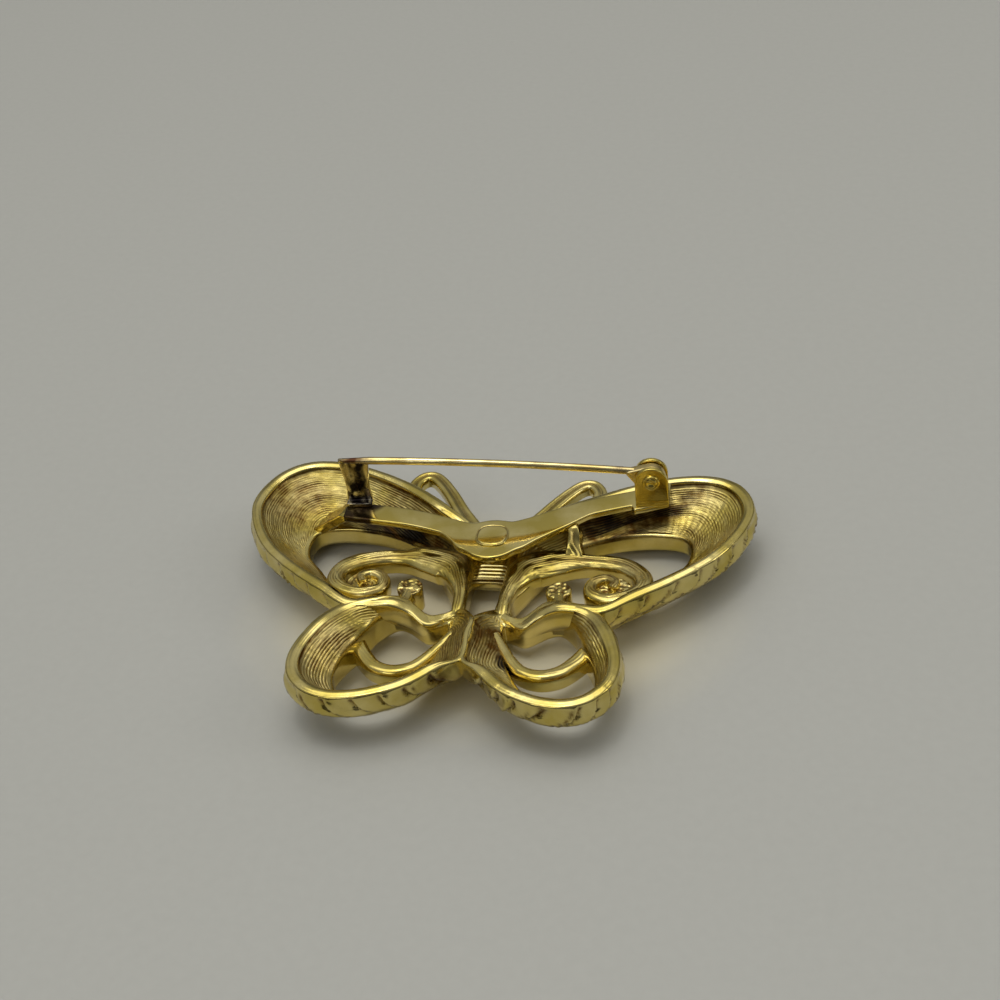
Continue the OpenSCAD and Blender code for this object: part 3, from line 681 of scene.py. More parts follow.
antennaRows = [
    (0.063, 0.036, 1.25, 0),
    (0.150, 0.135, 1.05, 0),
    (0.217, 0.223, 0.96, 0),
    (0.270, 0.282, 0.92, 0),
    (0.312, 0.313, 0.90, 0),
    (0.350, 0.311, 0.88, 0),
    (0.377, 0.281, 0.88, 0),
    (0.378, 0.245, 0.92, 0),
    (0.366, 0.210, 1.05, 0),
]
armLook = {
    "width": 2.0,
    "thick": 2.0,
    "lift": floorZ,
    "steps": 110,
    "across": 24,
    # corners of the section, as shares of half the width and of the thickness down
    "section": ((0.62, 0), (-0.62, 0), (-1, 0.2), (-0.88, 1), (0.88, 1), (1, 0.2)),
    "rounding": (0.3, 0.3, 0.3, 0.25, 0.25, 0.3),
    "crown": 0.10,
    "groove": 0.01,  # depth of the scoring, and how far apart and how brown its lines are
    "pitch": 0.4,
    "lines": 0.15,
    "grain": 0.0,
    "haze": 0.2,
    "channel": 0.0,  # depth of the rounded channel, in place of scoring
}
foreArm = dict(armLook, width=2.4, steps=200, across=56, crown=0.14, groove=0.04, pitch=0.30, lines=0.6,
               grain=0.8, haze=0.5)
hindArm = dict(armLook, width=1.7)
neckArm = dict(armLook, thick=3.0, steps=40, across=20, crown=0.15)
antenna = dict(armLook, width=1.9, thick=1.5, lift=floorZ + 0.68 * hollow, crown=0.0, groove=0.0,
               pitch=0.5, channel=0.24, lead=0.6)


def armPiece(name, rows, look, side, ahead=0.0, seed=0):
    # A bar with rounded shoulders carried along a Catmull-Rom line. Its top is scored lengthwise
    # by sine waves of the distance from the middle, or cut by one rounded channel
    line = blendRows(rows, look["steps"], False)
    middle = line[:, :2] * [halfSpan, wingLength] + [0, ahead]
    across = quarterTurn(unit(np.gradient(middle, axis=0)))
    half = (line[:, 2] * look["width"] / 2)[:, None]
    top = look["lift"] + hollow * line[:, 3]
    corners = []
    for share, fall in look["section"]:
        flat = middle + across * half * share
        corners.append(pointsOf(flat[:, 0], flat[:, 1], top - fall * look["thick"]))
    rings = roundedRings(np.stack(corners, axis=1), look["rounding"], [5] * 6,
                         [look["across"], 3, 5, 5, 5, 3])[0]
    offset = np.einsum("uvk,uk->uv", rings[..., :2] - middle[:, None], across)
    length = runningLength(middle)[:, None]
    upper = (rings[..., 2] > top[:, None] - look["thick"] * 0.3).astype(float)
    onTop = upper * (1 - smoothStep(0.72, 0.98, np.abs(offset) / half))
    wander = 0.45 * waves(length * 0.9, offset * 1.5, seed + 1)
    stroke = np.sin(2 * math.pi * (offset / look["pitch"] + wander))
    broken = smoothStep(-0.9, 0.3, waves(length * 1.8, offset * 5.0, seed + 2))
    scoring = look["groove"] * (stroke * broken + 0.4 * waves(length * 2.5, offset * 4.0, seed + 3))
    relief = onTop * (scoring + look["crown"] * (1 - (offset / half)**2))
    cloudy = np.clip(waves(length * 0.5, offset * 3.0, seed + 4), 0, 1)
    pit = onTop * (look["lines"] * smoothStep(0.1, 0.9, -stroke) * broken + look["haze"] * cloudy)
    if look["channel"] > 0:
        dip = bell(offset / half + 0.12, 0.42) * upper * smoothStep(0.6, 3.0, length)
        relief = relief - look["channel"] * dip
        pit = pit + 0.45 * dip * smoothStep(0.5, 0.9, dip)
    normal = gridNormals(rings, False)
    outward = 1.0 if normal[len(rings) // 2, 8, 2] > 0 else -1.0
    rings = mirrored(rings + normal * outward * relief[..., None], side)
    return gridPiece(name, toFrame(rings), giltCast,
                     values={"pit": np.clip(pit, 0, 1), "grain": look["grain"] * onTop * broken})


for side, word in sides:
    armPiece(word + "ForeScroll", foreArmRows, foreArm, side, seed=100 + side)
    armPiece(word + "HindScroll", hindArmRows, hindArm, side, seed=110 + side)
    armPiece(word + "Antenna", antennaRows, antenna, side, side * antenna["lead"], seed=120 + side)
print("scrolls and antennae made")


# Buttons: the scroll's eye and the knob on its neck, at shares of half the span and of the length
buttons = {
    "foot": dome + 0.2,
    "eyeAt": (0.472, -0.136),
    "eyeRadius": 2.5,
    "eyeTop": floorZ + 0.12 * hollow,
    "eyeSpiral": {"right": 0.0, "left": 0.07},
    "eyeNuggets": {"right": 0.08, "left": 0.02},
    "spiralPitch": 0.62,
    "knobAt": (0.285, -0.161),
    "knobRadius": 1.4,
    "knobTop": floorZ + 0.35 * hollow,
    "knobNuggets": 0.07,
    "neckFoot": (0.30, -0.262),
    "neckBend": -0.21,
}


def domedProfile(radius, low, top, edge=0.35):
    # From the middle of the underside out, up the side and over a rounded edge to the middle of the
    # top: radius and height along a softened rectangle
    turn = np.linspace(0, math.pi / 2, 7)[1:]
    return np.vstack([
        np.linspace((0.02, low), (radius * 0.9, low), 5),
        np.linspace((radius * 0.95, low + 0.15), (radius, top - edge), 6),
        np.stack([radius - edge + edge * np.cos(turn), top - edge + edge * np.sin(turn)], axis=1),
        np.linspace((radius - edge, top), (0.02, top), 26)[1:],
    ])


def turnedPiece(name, profile, at, side, spiral=0.0, nuggets=0.0, seed=0, square=2.0, material=None):
    # A profile of radius and height turned about a vertical axis; square is the exponent of the
    # superellipse that it follows. Its top carries a spiral groove, a sine of radius less turn, or
    # nuggets, which are random waves of the place, or a fine line inside a squared rim
    angle = (np.arange(96) * 2 * math.pi / 96)[None, :]
    radius, height = profile[:, 0][:, None], profile[:, 1][:, None]
    radius = radius * (np.abs(np.cos(angle))**square + np.abs(np.sin(angle))**square)**(-1 / square)
    x, y = radius * np.cos(angle), radius * np.sin(angle)
    onTop = smoothStep(profile[:, 1].max() - 0.35, profile[:, 1].max() - 0.1, height)
    swirl = np.sin(2 * math.pi * (radius / buttons["spiralPitch"] - angle / (2 * math.pi)))
    rough = waves(x * 4.6, y * 4.6, seed) + 0.6 * waves(x * 10, y * 10, seed + 1)
    rise = onTop * (spiral * swirl * smoothStep(0.1, 0.4, radius) + nuggets * np.minimum(rough, 0.9))
    pit = onTop * (0.6 * (spiral > 0) * smoothStep(0.1, 0.9, -swirl)
                   + 0.9 * (nuggets > 0) * smoothStep(-0.8, 0.7, -rough))
    if square > 2:
        line = bell(radius / radius.max(axis=0) - 0.90, 0.035) * onTop
        rise = rise - 0.07 * line
        pit = pit + 0.8 * line
    rings = mirrored(pointsOf(x + at[0], y + at[1], height + rise), side)
    return gridPiece(name, toFrame(rings), material or giltCast, values={"pit": np.clip(pit, 0, 1)})


def buttonPieces(side, word):
    # Two turned pieces, and the neck that carries the knob
    eyeX, eyeY = buttons["eyeAt"]
    knobX, knobY = buttons["knobAt"]
    footX, footY = buttons["neckFoot"]
    eye = domedProfile(buttons["eyeRadius"], buttons["foot"], buttons["eyeTop"])
    turnedPiece(word + "ScrollEye", eye, (eyeX * halfSpan, eyeY * wingLength), side,
                buttons["eyeSpiral"][word], buttons["eyeNuggets"][word], seed=140 + side)
    knob = domedProfile(buttons["knobRadius"], buttons["foot"], buttons["knobTop"], edge=0.2)
    turnedPiece(word + "Knob", knob, (knobX * halfSpan, knobY * wingLength), side,
                nuggets=buttons["knobNuggets"], seed=150 + side)
    neckRows = [
        (footX, footY - 0.01, 1.15, 0.5),
        (footX, footY + 0.03, 1.05, 0.46),
        ((footX + knobX) / 2, buttons["neckBend"], 0.95, 0.36),
        (knobX, knobY, 0.8, 0.28),
    ]
    armPiece(word + "KnobNeck", neckRows, neckArm, side, seed=160 + side)


for side, word in sides:
    buttonPieces(side, word)
print("buttons made")


# The thorax between the wings, with its ribs, and the head under the pad
body = {
    "slotTop": -0.088 * wingLength,
    "headY": 0.045 * wingLength,
    "halfWidth": 2.62,
    "back": floorZ - 0.4,
    "shoulder": 0.2,  # how far the sides lie below the back
    "thick": 1.2,
    "ribs": 5,
    "ribbed": 0.62,  # share of the length that carries ribs
    "ribHeight": 0.30,
    "ribWidth": 1.15,
    "headRadius": 2.4,
    "headGap": 0.9,  # from the top of the head to the bar's face
}


def thoraxPiece():
    # A block carried from the slot to the head, whose back rises in rounded ribs, sine waves of
    # the distance along the body
    y = np.linspace(body["slotTop"], body["headY"], 120)
    back, w, rib = body["back"], body["halfWidth"], body["ribWidth"]
    share = (y - body["slotTop"]) / ((body["headY"] - body["slotTop"]) * body["ribbed"])
    bulge = np.abs(np.sin(math.pi * share * body["ribs"]))**0.7 * smoothStep(0.12, 0.2, share)
    top = back + body["ribHeight"] * np.where(share < 1, bulge, 0.0)
    side, under = back - body["shoulder"], back - body["thick"]
    corners = np.stack([pointsOf(-w, y, side), pointsOf(-rib, y, top), pointsOf(rib, y, top),
                        pointsOf(w, y, side), pointsOf(w, y, under), pointsOf(-w, y, under)], axis=1)
    rings, station = roundedRings(corners, [0.4, 0.25, 0.25, 0.4, 0.4, 0.4], [4] * 6, [5, 12, 5, 3, 6, 3])
    dark = 1 - smoothStep(0.15, 0.5, bulge)
    pit = 0.7 * between(station, 0.5, 3) * dark[:, None]
    gridPiece("thorax", toFrame(rings), giltCast, values={"pit": pit})


thoraxPiece()
headProfile = domedProfile(body["headRadius"], dome - 0.3, barZ - body["headGap"], edge=0.5)
turnedPiece("head", headProfile, (0.0, body["headY"]), -1)
print("body made")


# The flat bar with its pad and plain oval, and its two legs
bar = {
    "width": 2.9,
    "thick": 0.8,
    "reach": 18.9,  # from the middle to the hinge's end, and to the catch's
    "catchReach": 17.4,
    "rightTurn": math.radians(25.0),
    "leftTurn": math.radians(13.8),
    "bow": 0.7,
    "edge": 0.27,
    "crown": 0.04,
    "padAt": (0.2, -0.5),
    "padRadius": 3.3,
    "padSoft": 0.7,
    # swell of the near edge: places as shares of the reach, and depths in millimetres
    "flareAt": (-0.296, -0.233, -0.185, 0.2, 0.265, 0.36, 0.45, 0.555),
    "flare": (0.0, 0.7, 1.7, 2.5, 1.9, 1.4, 0.9, 0.0),
    "soften": 1.5,  # length over which that edge is averaged, and how far from the middle
    "softenTo": 14.0,
    "seatHalf": 1.8,  # half the length of the hinge's seat, and how far it stands out
    "seatOut": 0.83,
    "catchDarkTo": (-14.2, -13.3),  # where the dark patch beside the catch, its painted dark reflection and shade with tarnish, starts to fade, and ends
    "ovalAt": (0.2, -0.1),
    "ovalRadius": 1.82,
    "ovalHeight": 0.2,
    "ovalSquare": 2.7,
}


def barMiddle(x):
    # Two straight slopes that meet at the pad, each bowed forward by one wave of a raised cosine
    x = np.asarray(x, float)
    slope = np.where(x > 0, math.tan(bar["rightTurn"]), math.tan(bar["leftTurn"]))
    return np.abs(x) * slope + bar["bow"] * (1 - np.cos(2 * math.pi * x / bar["reach"])) / 2


def softest(a, b, soft):
    # Smooth maximum: half of a + b plus the rounded distance between them
    return 0.5 * (a + b + np.sqrt((a - b)**2 + soft**2))


def barPiece():
    # A rounded strip between two curves: the bar's edges, swollen to the pad's circle by a smooth
    # maximum. The near one is the lower of the swollen edge and the pad, averaged over a short
    # reach, and the hinge's seat is a square step of it
    x = np.linspace(-bar["catchReach"], bar["reach"], 220)
    middle = barMiddle(x)
    padX, padY = bar["padAt"]
    circle = np.sqrt(np.maximum(bar["padRadius"]**2 - (x - padX)**2, 0))
    inside = np.abs(x - padX) < bar["padRadius"]
    far = softest(middle + bar["width"] / 2, np.where(inside, padY + circle, -9.0), bar["padSoft"])
    swell = np.interp(x / bar["reach"], bar["flareAt"], bar["flare"])
    near = np.minimum(middle - bar["width"] / 2 - swell, np.where(inside, padY - circle, 9.0))
    window = int(bar["soften"] / (x[1] - x[0]) / 2)
    kernel = np.hanning(2 * window + 3)[1:-1]
    smooth = np.convolve(np.pad(near, window, "edge"), kernel / kernel.sum(), "valid")
    near = np.where(np.abs(x) < bar["softenTo"], smooth, near)
    half = bar["seatHalf"]
    seat = 1 - smoothStep(half + 0.05, half + 0.35, np.abs(x - bar["reach"] + half))
    near = near - bar["seatOut"] * seat
    under = barZ - bar["thick"]
    corners = np.stack([pointsOf(x, near, barZ), pointsOf(x, far, barZ),
                        pointsOf(x, far, under), pointsOf(x, near, under)], axis=1)
    rings, station = roundedRings(corners, bar["edge"], [6] * 4, [14, 3, 8, 3])
    rings[..., 2] += bar["crown"] * hump(np.clip(station, 0, 1))
    # a dark patch runs from the catch along the bar: painted dark reflection and shade of the catch, with
    # tarnish
    ragged = rings[..., 0] + 0.5 * waves(rings[..., 0] * 1.5, rings[..., 1] * 2.0, 180)
    dirtAndShade = 1 - smoothStep(*bar["catchDarkTo"], ragged)
    gridPiece("bar", toFrame(rings), giltBar, values={"pit": dirtAndShade, "sootAndShade": 0.75 * dirtAndShade})


barPiece()
ovalProfile = domedProfile(bar["ovalRadius"], barZ - 0.4, barZ + bar["ovalHeight"], edge=0.12)
turnedPiece("plainOval", ovalProfile, bar["ovalAt"], -1, square=bar["ovalSquare"], material=giltBar)

endX, endY = -bar["catchReach"], float(barMiddle(-bar["catchReach"]))
legs = {
    "leftLeg": {
        "low": (endX - 4.4, endY + 1.7, floorZ - 0.8),
        "high": (endX + 0.6, endY + 0.1, barZ - 0.22),
        "halfWidth": (1.5, 1.45),  # below and above
        "halfThick": 0.9,
        "across": (0.3, 0.95, 0.0),
        "rough": 0.03,
        "seed": 170,
    },
    "rightPost": {
        "low": (9.05, -0.1, floorZ - 0.4),
        "high": (8.75, 3.0, barZ - 0.45),
        "halfWidth": (1.12, 0.6),
        "halfThick": 0.7,
        "across": (1.0, 0.0, 0.0),
        "rough": 0.10,
        "seed": 171,
    },
}


def legPiece(name, look):
    # A small tapering post: rounded rectangles carried along a straight line from low to high, and
    # moved along their normals by random waves
    middle = np.linspace(look["low"], look["high"], 40)
    wide = np.linspace(*look["halfWidth"], 40)[:, None] * np.array(look["across"])
    thick = look["halfThick"] * np.array([-look["across"][1], look["across"][0], 0.0])
    corners = np.stack([middle + wide + thick, middle - wide + thick,
                        middle - wide - thick, middle + wide - thick], axis=1)
    rings = roundedRings(corners, 0.22, [4] * 4, [9] * 4)[0]
    bumps = waves(rings[..., 0] * 3.4 + rings[..., 1] * 2.2, rings[..., 2] * 3.4, look["seed"])
    rings = rings + gridNormals(rings, False) * (look["rough"] * bumps)[..., None]
    gridPiece(name, toFrame(rings), giltCast, values={"pit": 0.15 + 0.5 * smoothStep(0.0, 1.2, -bumps)})


for name, look in legs.items():
    legPiece(name, look)
print("bar made")


# The findings stand in the pin's own frame: x along the stem to the hinge, y along the rivet,
# z up from the bar's face
pin = {
    "pivotZ": 3.2,  # height of the rivet above the bar, and of the stem's root above the rivet
    "rootRise": 0.6,
    "overCatch": 6.4,  # height above the bar at which the stem's straight line meets the catch
    "hingeOff": -0.4,  # where the hinge and the catch sit across the bar, as shares of its width
    "catchOff": 0.22,
    "short": 0.2,  # how far the stem ends short of the catch's outer edge
    "stemRadius": 0.425,
    "bow": 0.4,
    "point": 3.25,  # length of the tapered end
    "pointShare": 0.25,  # share of the radius that is left at its tip
    "eyeRadius": 1.6,
    "eyeThick": 1.0,
    "bore": 0.55,
    # the flat plate between the eye and the wire, round from the top: x and height from the pivot
    "plate": ((-0.35, 1.56), (-1.2, 1.34), (-2.0, 1.14), (-2.6, 1.0), (-2.72, 0.8), (-2.6, 0.5),
              (-2.2, -0.1), (-1.85, -0.6), (-1.45, -1.05), (-0.8, -1.42)),
    "rootDark": 3.2,  # where the root is browned, and where the point's darkening starts and is full, which is painted shade of the catch with tarnish
    "pointDark": (30.0, 32.5),
}
hinge = {
    "halfWidth": bar["seatHalf"],
    "earThick": 0.5,
    "gap": 1.24,
    "bore": 0.52,
    "bevel": 0.12,
    "flange": 0.16,  # how far the ears spread at their feet
    "floorThick": 0.5,
    "shaftRadius": 0.5,
    "headRadius": 0.95,
    "headThick": 0.3,
}
catch = {
    "width": 3.0,
    "thick": 0.5,
    "foot": 1.2,
    "high": 6.3,
    "lipGap": 0.12,
    "edge": 0.14,
    "spread": 0.12,  # how much wider the top is
    "waist": 0.12,  # and how much narrower the waist, as shares of the width
    "waistAt": 0.35,
    "cup": 0.16,
    # lighter spots in the black tarnish, painted highlights: across, height, their reaches
    "glintSpots": ((-0.95, 4.4, 0.30, 1.3), (-0.1, 5.5, 0.28, 0.5), (-0.45, 1.2, 0.25, 0.4)),
}


hingeX = bar["reach"] - hinge["halfWidth"]
catchX = catch["width"] / 2 - bar["catchReach"]
hingeAt = (hingeX, float(barMiddle(hingeX)) + pin["hingeOff"] * bar["width"], barZ)
catchAt = (catchX, float(barMiddle(catchX)) + pin["catchOff"] * bar["width"], barZ)
pinTurn = math.atan2(hingeAt[1] - catchAt[1], hingeX - catchX)
pinRun = math.dist(hingeAt, catchAt)
stemRise = math.atan2(pin["overCatch"] - pin["pivotZ"] - pin["rootRise"], pinRun)
stemLength = (pinRun + catch["width"] / 2 - pin["short"]) / math.cos(stemRise)


def atHinge(rings):
    # From the pin's own frame, with its zero under the rivet, to the shared one
    return toFrame(rings, pinTurn, hingeAt)


def ringPlate(outline, bore, y, thick, bevel):
    # A flat plate in the x-z plane, square to the rivet: its softened section runs from the outline
    # in to a round bore
    centre = np.array([0.0, pin["pivotZ"]])
    inner = centre + unit(outline - centre) * bore
    near, far = y - thick / 2, y + thick / 2
    loops = ((outline, near), (inner, near), (inner, far), (outline, far))
    corners = np.stack([pointsOf(flat[:, 0], at, flat[:, 1]) for flat, at in loops], axis=1)
    return roundedRings(corners, [bevel, 0.04, 0.04, bevel], [5, 3, 3, 5], [12, 3, 12, 3])[0]


def hingePieces():
    # Two arched ears on a floor plate. The arch is a half circle on two straight sides
    w, z, low = hinge["halfWidth"], pin["pivotZ"], 0.02
    arc = np.linspace(0, math.pi, 49)
    outline = np.vstack([
        np.stack([w * np.cos(arc), z + w * np.sin(arc)], axis=1),
        np.linspace((-w, z), (-w, low), 17)[1:],
        np.linspace((-w, low), (w, low), 18)[1:-1],
        np.linspace((w, low), (w, z), 17)[:-1],
    ])
    earY = (hinge["gap"] + hinge["earThick"]) / 2
    for word, way in (("front", -1), ("rear", 1)):
        rings = ringPlate(outline, hinge["bore"], way * earY, hinge["earThick"], hinge["bevel"])
        rings[..., 1] += way * hinge["flange"] * (1 - smoothStep(0.0, 0.7, rings[..., 2]))
        gridPiece(word + "Ear", atHinge(rings), giltFinding, closedU=True,
                                values={"pit": 0.0})
    x = np.linspace(-w, w, 30)
    y, top = hinge["gap"] / 2 + hinge["earThick"], hinge["floorThick"]
    corners = np.stack([pointsOf(x, -y, top), pointsOf(x, y, top), pointsOf(x, y, 0.0),
                        pointsOf(x, -y, 0.0)], axis=1)
    rings = roundedRings(corners, 0.1, [3] * 4, [8, 2, 8, 2])[0]
    gridPiece("hingeFloor", atHinge(rings), giltFinding, values={"pit": 0.3})
    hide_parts("pin_hinge")


def rivetPiece():
    # A turned rivet along y: a shaft between two ringed heads, whose radius runs out, over a
    # rounded rim and in to a dimple
    reach = hinge["gap"] / 2 + hinge["earThick"]
    r, t = hinge["headRadius"], hinge["headThick"]
    head = [(0.02, t * 0.35), (0.30, t * 0.4), (0.42, t * 0.95), (0.55, t * 0.98), (0.62, t * 0.55),
            (0.72, t * 0.5), (0.82, t * 0.9), (r - 0.06, t * 0.8), (r, t * 0.5), (r, 0.0)]
    near = [(a, -reach - b) for a, b in head]
    far = [(a, reach + b) for a, b in reversed(head)]
    shaft = [(hinge["shaftRadius"], -reach), (hinge["shaftRadius"], reach)]
    profile = np.array(near + shaft + far)
    angle = (np.arange(64) * 2 * math.pi / 64)[None, :]
    radius, y = profile[:, 0][:, None], profile[:, 1][:, None]
    rings = pointsOf(radius * np.cos(angle), y, pin["pivotZ"] + radius * np.sin(angle))
    pit = 0.5 * smoothStep(0.55, 0.7, radius) * (1 - smoothStep(0.72, 0.8, radius))
    piece = gridPiece("rivet", atHinge(rings), giltFinding, values={"pit": pit})
    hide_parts("hinge_rivet")


def stemPieces():
    # The eye is a ring plate, and the wire a circle carried along a bowed line: a straight rise
    # plus a parabola. Its radius falls to the point as a power of the distance from the end
    r = pin["eyeRadius"]
    arc = np.linspace(-math.pi / 2, math.pi / 2, 40)
    eye = np.stack([r * np.cos(arc), r * np.sin(arc)], axis=1)
    outline = np.vstack([eye, blendRows(pin["plate"], 40, False)]) + [0, pin["pivotZ"]]
    rings = ringPlate(outline, pin["bore"], 0.0, pin["eyeThick"], 0.2)
    gridPiece("stemEye", atHinge(rings), giltWire, body="pin", closedU=True,
              values={"pit": 0.15})
    share = np.concatenate([np.linspace(0.05, 0.9, 150), np.linspace(0.905, 1, 30)])
    flat = share * stemLength
    lift = pin["bow"] * hump(share)
    slope = 4 * pin["bow"] * (1 - 2 * share) / stemLength
    c, s = math.cos(stemRise), math.sin(stemRise)
    root = pin["pivotZ"] + pin["rootRise"]
    middle = pointsOf(lift * s - flat * c, 0.0, root + flat * s + lift * c)
    up = unit(pointsOf(s + slope * c, 0.0, c - slope * s))
    tip = pin["pointShare"]
    taper = np.clip((stemLength - flat) / pin["point"], 0, 1)**0.6
    radius = pin["stemRadius"] * (tip + (1 - tip) * taper)
    angle = (np.arange(32) * 2 * math.pi / 32)[None, :, None]
    circle = np.cos(angle) * np.array([0.0, 1.0, 0.0]) + np.sin(angle) * up[:, None]
    rings = middle[:, None] + radius[:, None, None] * circle
    # where the point lies in the catch, its darkening is painted shade of the catch, with tarnish
    tarnishAndShade = 0.85 * smoothStep(*pin["pointDark"], flat) + 0.55 * bell(flat - pin["rootDark"], 1.0)
    spots = 0.35 * np.clip(waves(flat * 1.7, 0 * flat, 210), 0, 1)
    pit = np.clip(tarnishAndShade + spots, 0, 0.9)[:, None]
    wire = gridPiece("stemWire", atHinge(rings), giltWire, body="pin", values={"pit": pit})
    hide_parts("pin_stem")


def catchPiece():
    # A strip carried along a C: foot, wall and lip are straight runs with rounded bends. The strip
    # is narrower at its waist, and cupped by a parabola across its width
    t, high = catch["thick"], catch["high"]
    bend = t * 1.2
    inner = pin["stemRadius"] + catch["lipGap"]
    wall = inner + bend
    mid = bend - t / 2
    low, top = np.linspace(-math.pi / 2, 0, 14)[1:], np.linspace(0, math.pi / 2, 14)
    line = np.vstack([
        np.linspace((wall - catch["foot"], t / 2), (inner, t / 2), 8),
        np.stack([inner + mid * np.cos(low), bend + mid * np.sin(low)], axis=1),
        np.linspace((wall - t / 2, bend), (wall - t / 2, high - bend), 42)[1:-1],
        np.stack([inner + mid * np.cos(top), high - bend + mid * np.sin(top)], axis=1),
    ])
    normal = -quarterTurn(unit(np.gradient(line, axis=0)))
    share = np.clip(line[:, 1] / high, 0, 1)
    waist = bell(share - catch["waistAt"], 0.25)
    half = catch["width"] / 2 * (1 + catch["spread"] * smoothStep(0.5, 1.0, share) - catch["waist"] * waist)
    corners = []
    for side, depth in ((-1, t / 2), (1, t / 2), (1, -t / 2), (-1, -t / 2)):
        flat = line + normal * depth
        corners.append(pointsOf(side * half, flat[:, 0], flat[:, 1]))
    rings, station = roundedRings(np.stack(corners, axis=1), catch["edge"], [5] * 4, [16, 3, 8, 3])
    across, up = rings[..., 0], line[:, 1][:, None]
    offset = across / half[:, None]
    onWall = smoothStep(0.12, 0.3, share) * (1 - smoothStep(0.86, 0.95, share))
    rings[..., 1] -= catch["cup"] * (offset**2 - 0.6) * onWall[:, None]
    inside = between(station, 0, 1)
    dark = inside * (1 - smoothStep(0.66, 0.84, np.abs(offset) + 0.08 * waves(across * 1.5, up * 2.5, 230)))
    # the spots kept light in the black are painted highlights
    for glintAt, height, wide, tall in catch["glintSpots"]:
        dark = dark * (1 - bell(((across - glintAt) / wide)**2 + ((up - height) / tall)**2, 1))
    pit = np.clip(dark + 0.9 * bell(up, 0.8) * inside + 0.35 * (1 - inside), 0, 1)
    piece = gridPiece("catchStrip", toFrame(rings, pinTurn, catchAt), darkCatch,
                      values={"pit": pit})
    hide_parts("catch")


hingePieces()
rivetPiece()
stemPieces()
catchPiece()
print("findings made")


# The table, the light and the camera, in metres
stageLook = {
    "table": (0.50, 0.50, 0.465),
    "tableHalf": 3.0,
    "tableRough": 0.55,
    "mottleScale": 900.0,
    "mottle": (0.96, 1.03),
    # warm light thrown off the gilding: tint, reach along x and y, strengths from the middle out
    "glow": (0.80, 0.74, 0.54),
    "glowReach": (0.030, 0.0205, 1.0),
    "glowFall": ((0.0, 0.9), (0.60, 0.75), (0.85, 0.12), (1.0, 0.0)),
    # brightness of the room over the height of the look, and its dimming towards the camera
    "sky": ((0.0, 0.10), (0.30, 0.18), (0.52, 0.36), (0.80, 0.46), (1.0, 0.55)),
    "skyBlue": 0.97,
    "dimFrom": (-0.8, 0.1),
    "dimTo": (0.35, 1.0),
    "lamps": (
        # name, place, width, depth, watts, colour
        ("overheadPanel", (-0.05, 0.10, 0.80), 0.85, 0.65, 2.2, (1.0, 0.98, 0.93)),
        ("ceilingLamp", (-0.06, 0.02, 0.75), 0.16, 0.12, 0.34, (1.0, 0.98, 0.93)),
        ("sidePanel", (0.75, 0.10, 0.45), 0.20, 0.30, 0.5, (1.0, 0.97, 0.92)),
        ("frontFill", (-0.35, -0.80, 0.75), 0.60, 0.40, 1.3, (0.98, 0.99, 1.0)),
    ),
}


def tablePiece():
    # One large flat square under the brooch, with a fine noise, and a warm tint, painted light thrown
    # off the gilding, that fades over an ellipse round the brooch
    size = stageLook["tableHalf"]
    mesh = bpy.data.meshes.new("table")
    square = [(-size, -size, 0), (size, -size, 0), (size, size, 0), (-size, size, 0)]
    mesh.from_pydata(square, [], [(0, 1, 2, 3)])
    material = bpy.data.materials.new("paleTable")
    material.use_nodes = True
    tree = material.node_tree
    place = addNode(tree, "TexCoord", "Object", {})
    noise = addNode(tree, "TexNoise", "Fac", {"Vector": place, "Scale": stageLook["mottleScale"]})
    low, high = ([c * share for c in stageLook["table"]] for share in stageLook["mottle"])
    tone = colourRamp(tree, noise, ((0.0, low), (1.0, high)))
    scaled = addNode(tree, "Mapping", "Vector", {"Vector": place, "Scale": stageLook["glowReach"]},
                     vector_type="TEXTURE")
    away = addNode(tree, "VectorMath", "Value", {0: scaled}, operation="LENGTH")
    fall = colourRamp(tree, away, [(at, (value,) * 3) for at, value in stageLook["glowFall"]], "EASE")
    inputs = {"Factor": fall, "A": tone, "B": (*stageLook["glow"], 1)}
    colour = addNode(tree, "Mix", "Result", inputs, data_type="RGBA")
    setInputs(tree, tree.nodes["Principled BSDF"], {
        "Base Color": colour,
        "Roughness": stageLook["tableRough"],
    })
    mesh.materials.append(material)
    table = bpy.data.objects.new("table", mesh)
    bpy.context.scene.collection.objects.link(table)


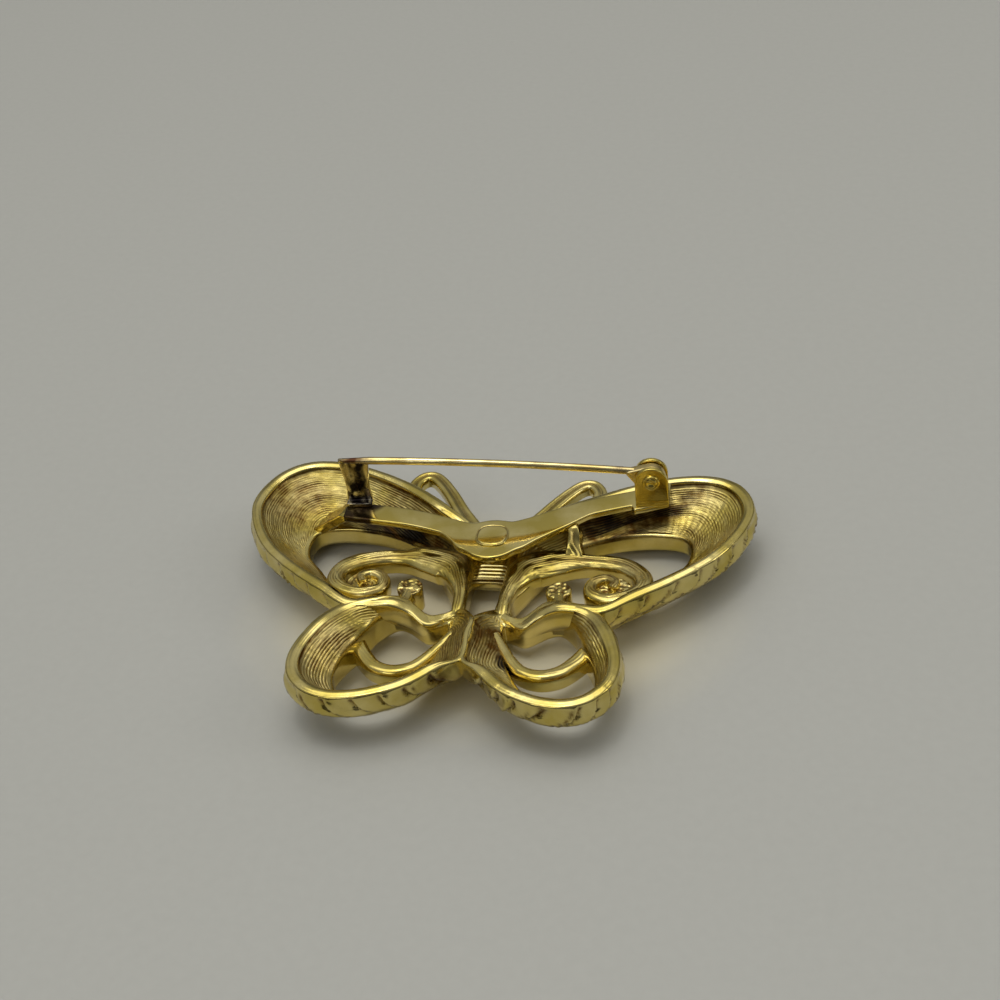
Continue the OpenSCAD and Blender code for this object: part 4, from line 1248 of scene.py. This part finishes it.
def roomLight():
    # The world is a ramp over the height of the looking direction, dimmed towards the camera. The
    # lamps are soft panels that face the brooch
    world = bpy.data.worlds.new("room")
    bpy.context.scene.world = world
    world.use_nodes = True
    tree = world.node_tree
    way = addNode(tree, "TexCoord", "Generated", {})
    height = addNode(tree, "SeparateXYZ", "Z", {"Vector": way})
    stops = [(at, (value, value, value * stageLook["skyBlue"])) for at, value in stageLook["sky"]]
    setInputs(tree, tree.nodes["Background"], {
        "Color": colourRamp(tree, height, stops),
        "Strength": mapRange(tree, height.node.outputs["Y"], stageLook["dimFrom"], stageLook["dimTo"]),
    })
    for name, at, width, depth, watts, colour in stageLook["lamps"]:
        lamp = bpy.data.lights.new(name, "AREA")
        lamp.shape = "RECTANGLE"
        lamp.size = width
        lamp.size_y = depth
        lamp.energy = watts
        lamp.color = colour
        holder = bpy.data.objects.new(name, lamp)
        holder.location = at
        holder.rotation_euler = (-Vector(at)).to_track_quat("-Z", "Y").to_euler()
        bpy.context.scene.collection.objects.link(holder)


# The photograph's viewpoint: angles in radians, places in metres, the lens in millimetres
photoView = {
    "azimuth": 0.237104,
    "elevation": 0.638655,
    "roll": -0.126243,
    "target": (-0.000597, 0.016072, 0.004),
    "distance": 0.1919075,
    "lens": 60,
    "sensor": 36,
    "nearest": 0.005,
}


def photoCamera():
    # The camera stands back from its target along azimuth and elevation, and is turned by the roll
    azimuth, elevation, roll = photoView["azimuth"], photoView["elevation"], photoView["roll"]
    back = Vector((math.sin(azimuth) * math.cos(elevation), -math.cos(azimuth) * math.cos(elevation),
                   math.sin(elevation)))
    right = Vector((math.cos(azimuth), math.sin(azimuth), 0))
    up = back.cross(right)
    xAxis = math.cos(roll) * right + math.sin(roll) * up
    yAxis = math.cos(roll) * up - math.sin(roll) * right
    place = Vector(photoView["target"]) + back * photoView["distance"]
    lens = bpy.data.cameras.new("photoCamera")
    lens.lens = photoView["lens"]
    lens.sensor_width = photoView["sensor"]
    lens.clip_start = photoView["nearest"]
    holder = bpy.data.objects.new("photoCamera", lens)
    turned = Matrix((xAxis, yAxis, back)).transposed().to_4x4()
    holder.matrix_world = Matrix.Translation(place) @ turned
    bpy.context.scene.collection.objects.link(holder)
    bpy.context.scene.camera = holder


tablePiece()
roomLight()
photoCamera()
bpy.context.scene.view_settings.view_transform = "Standard"
print("stage set")
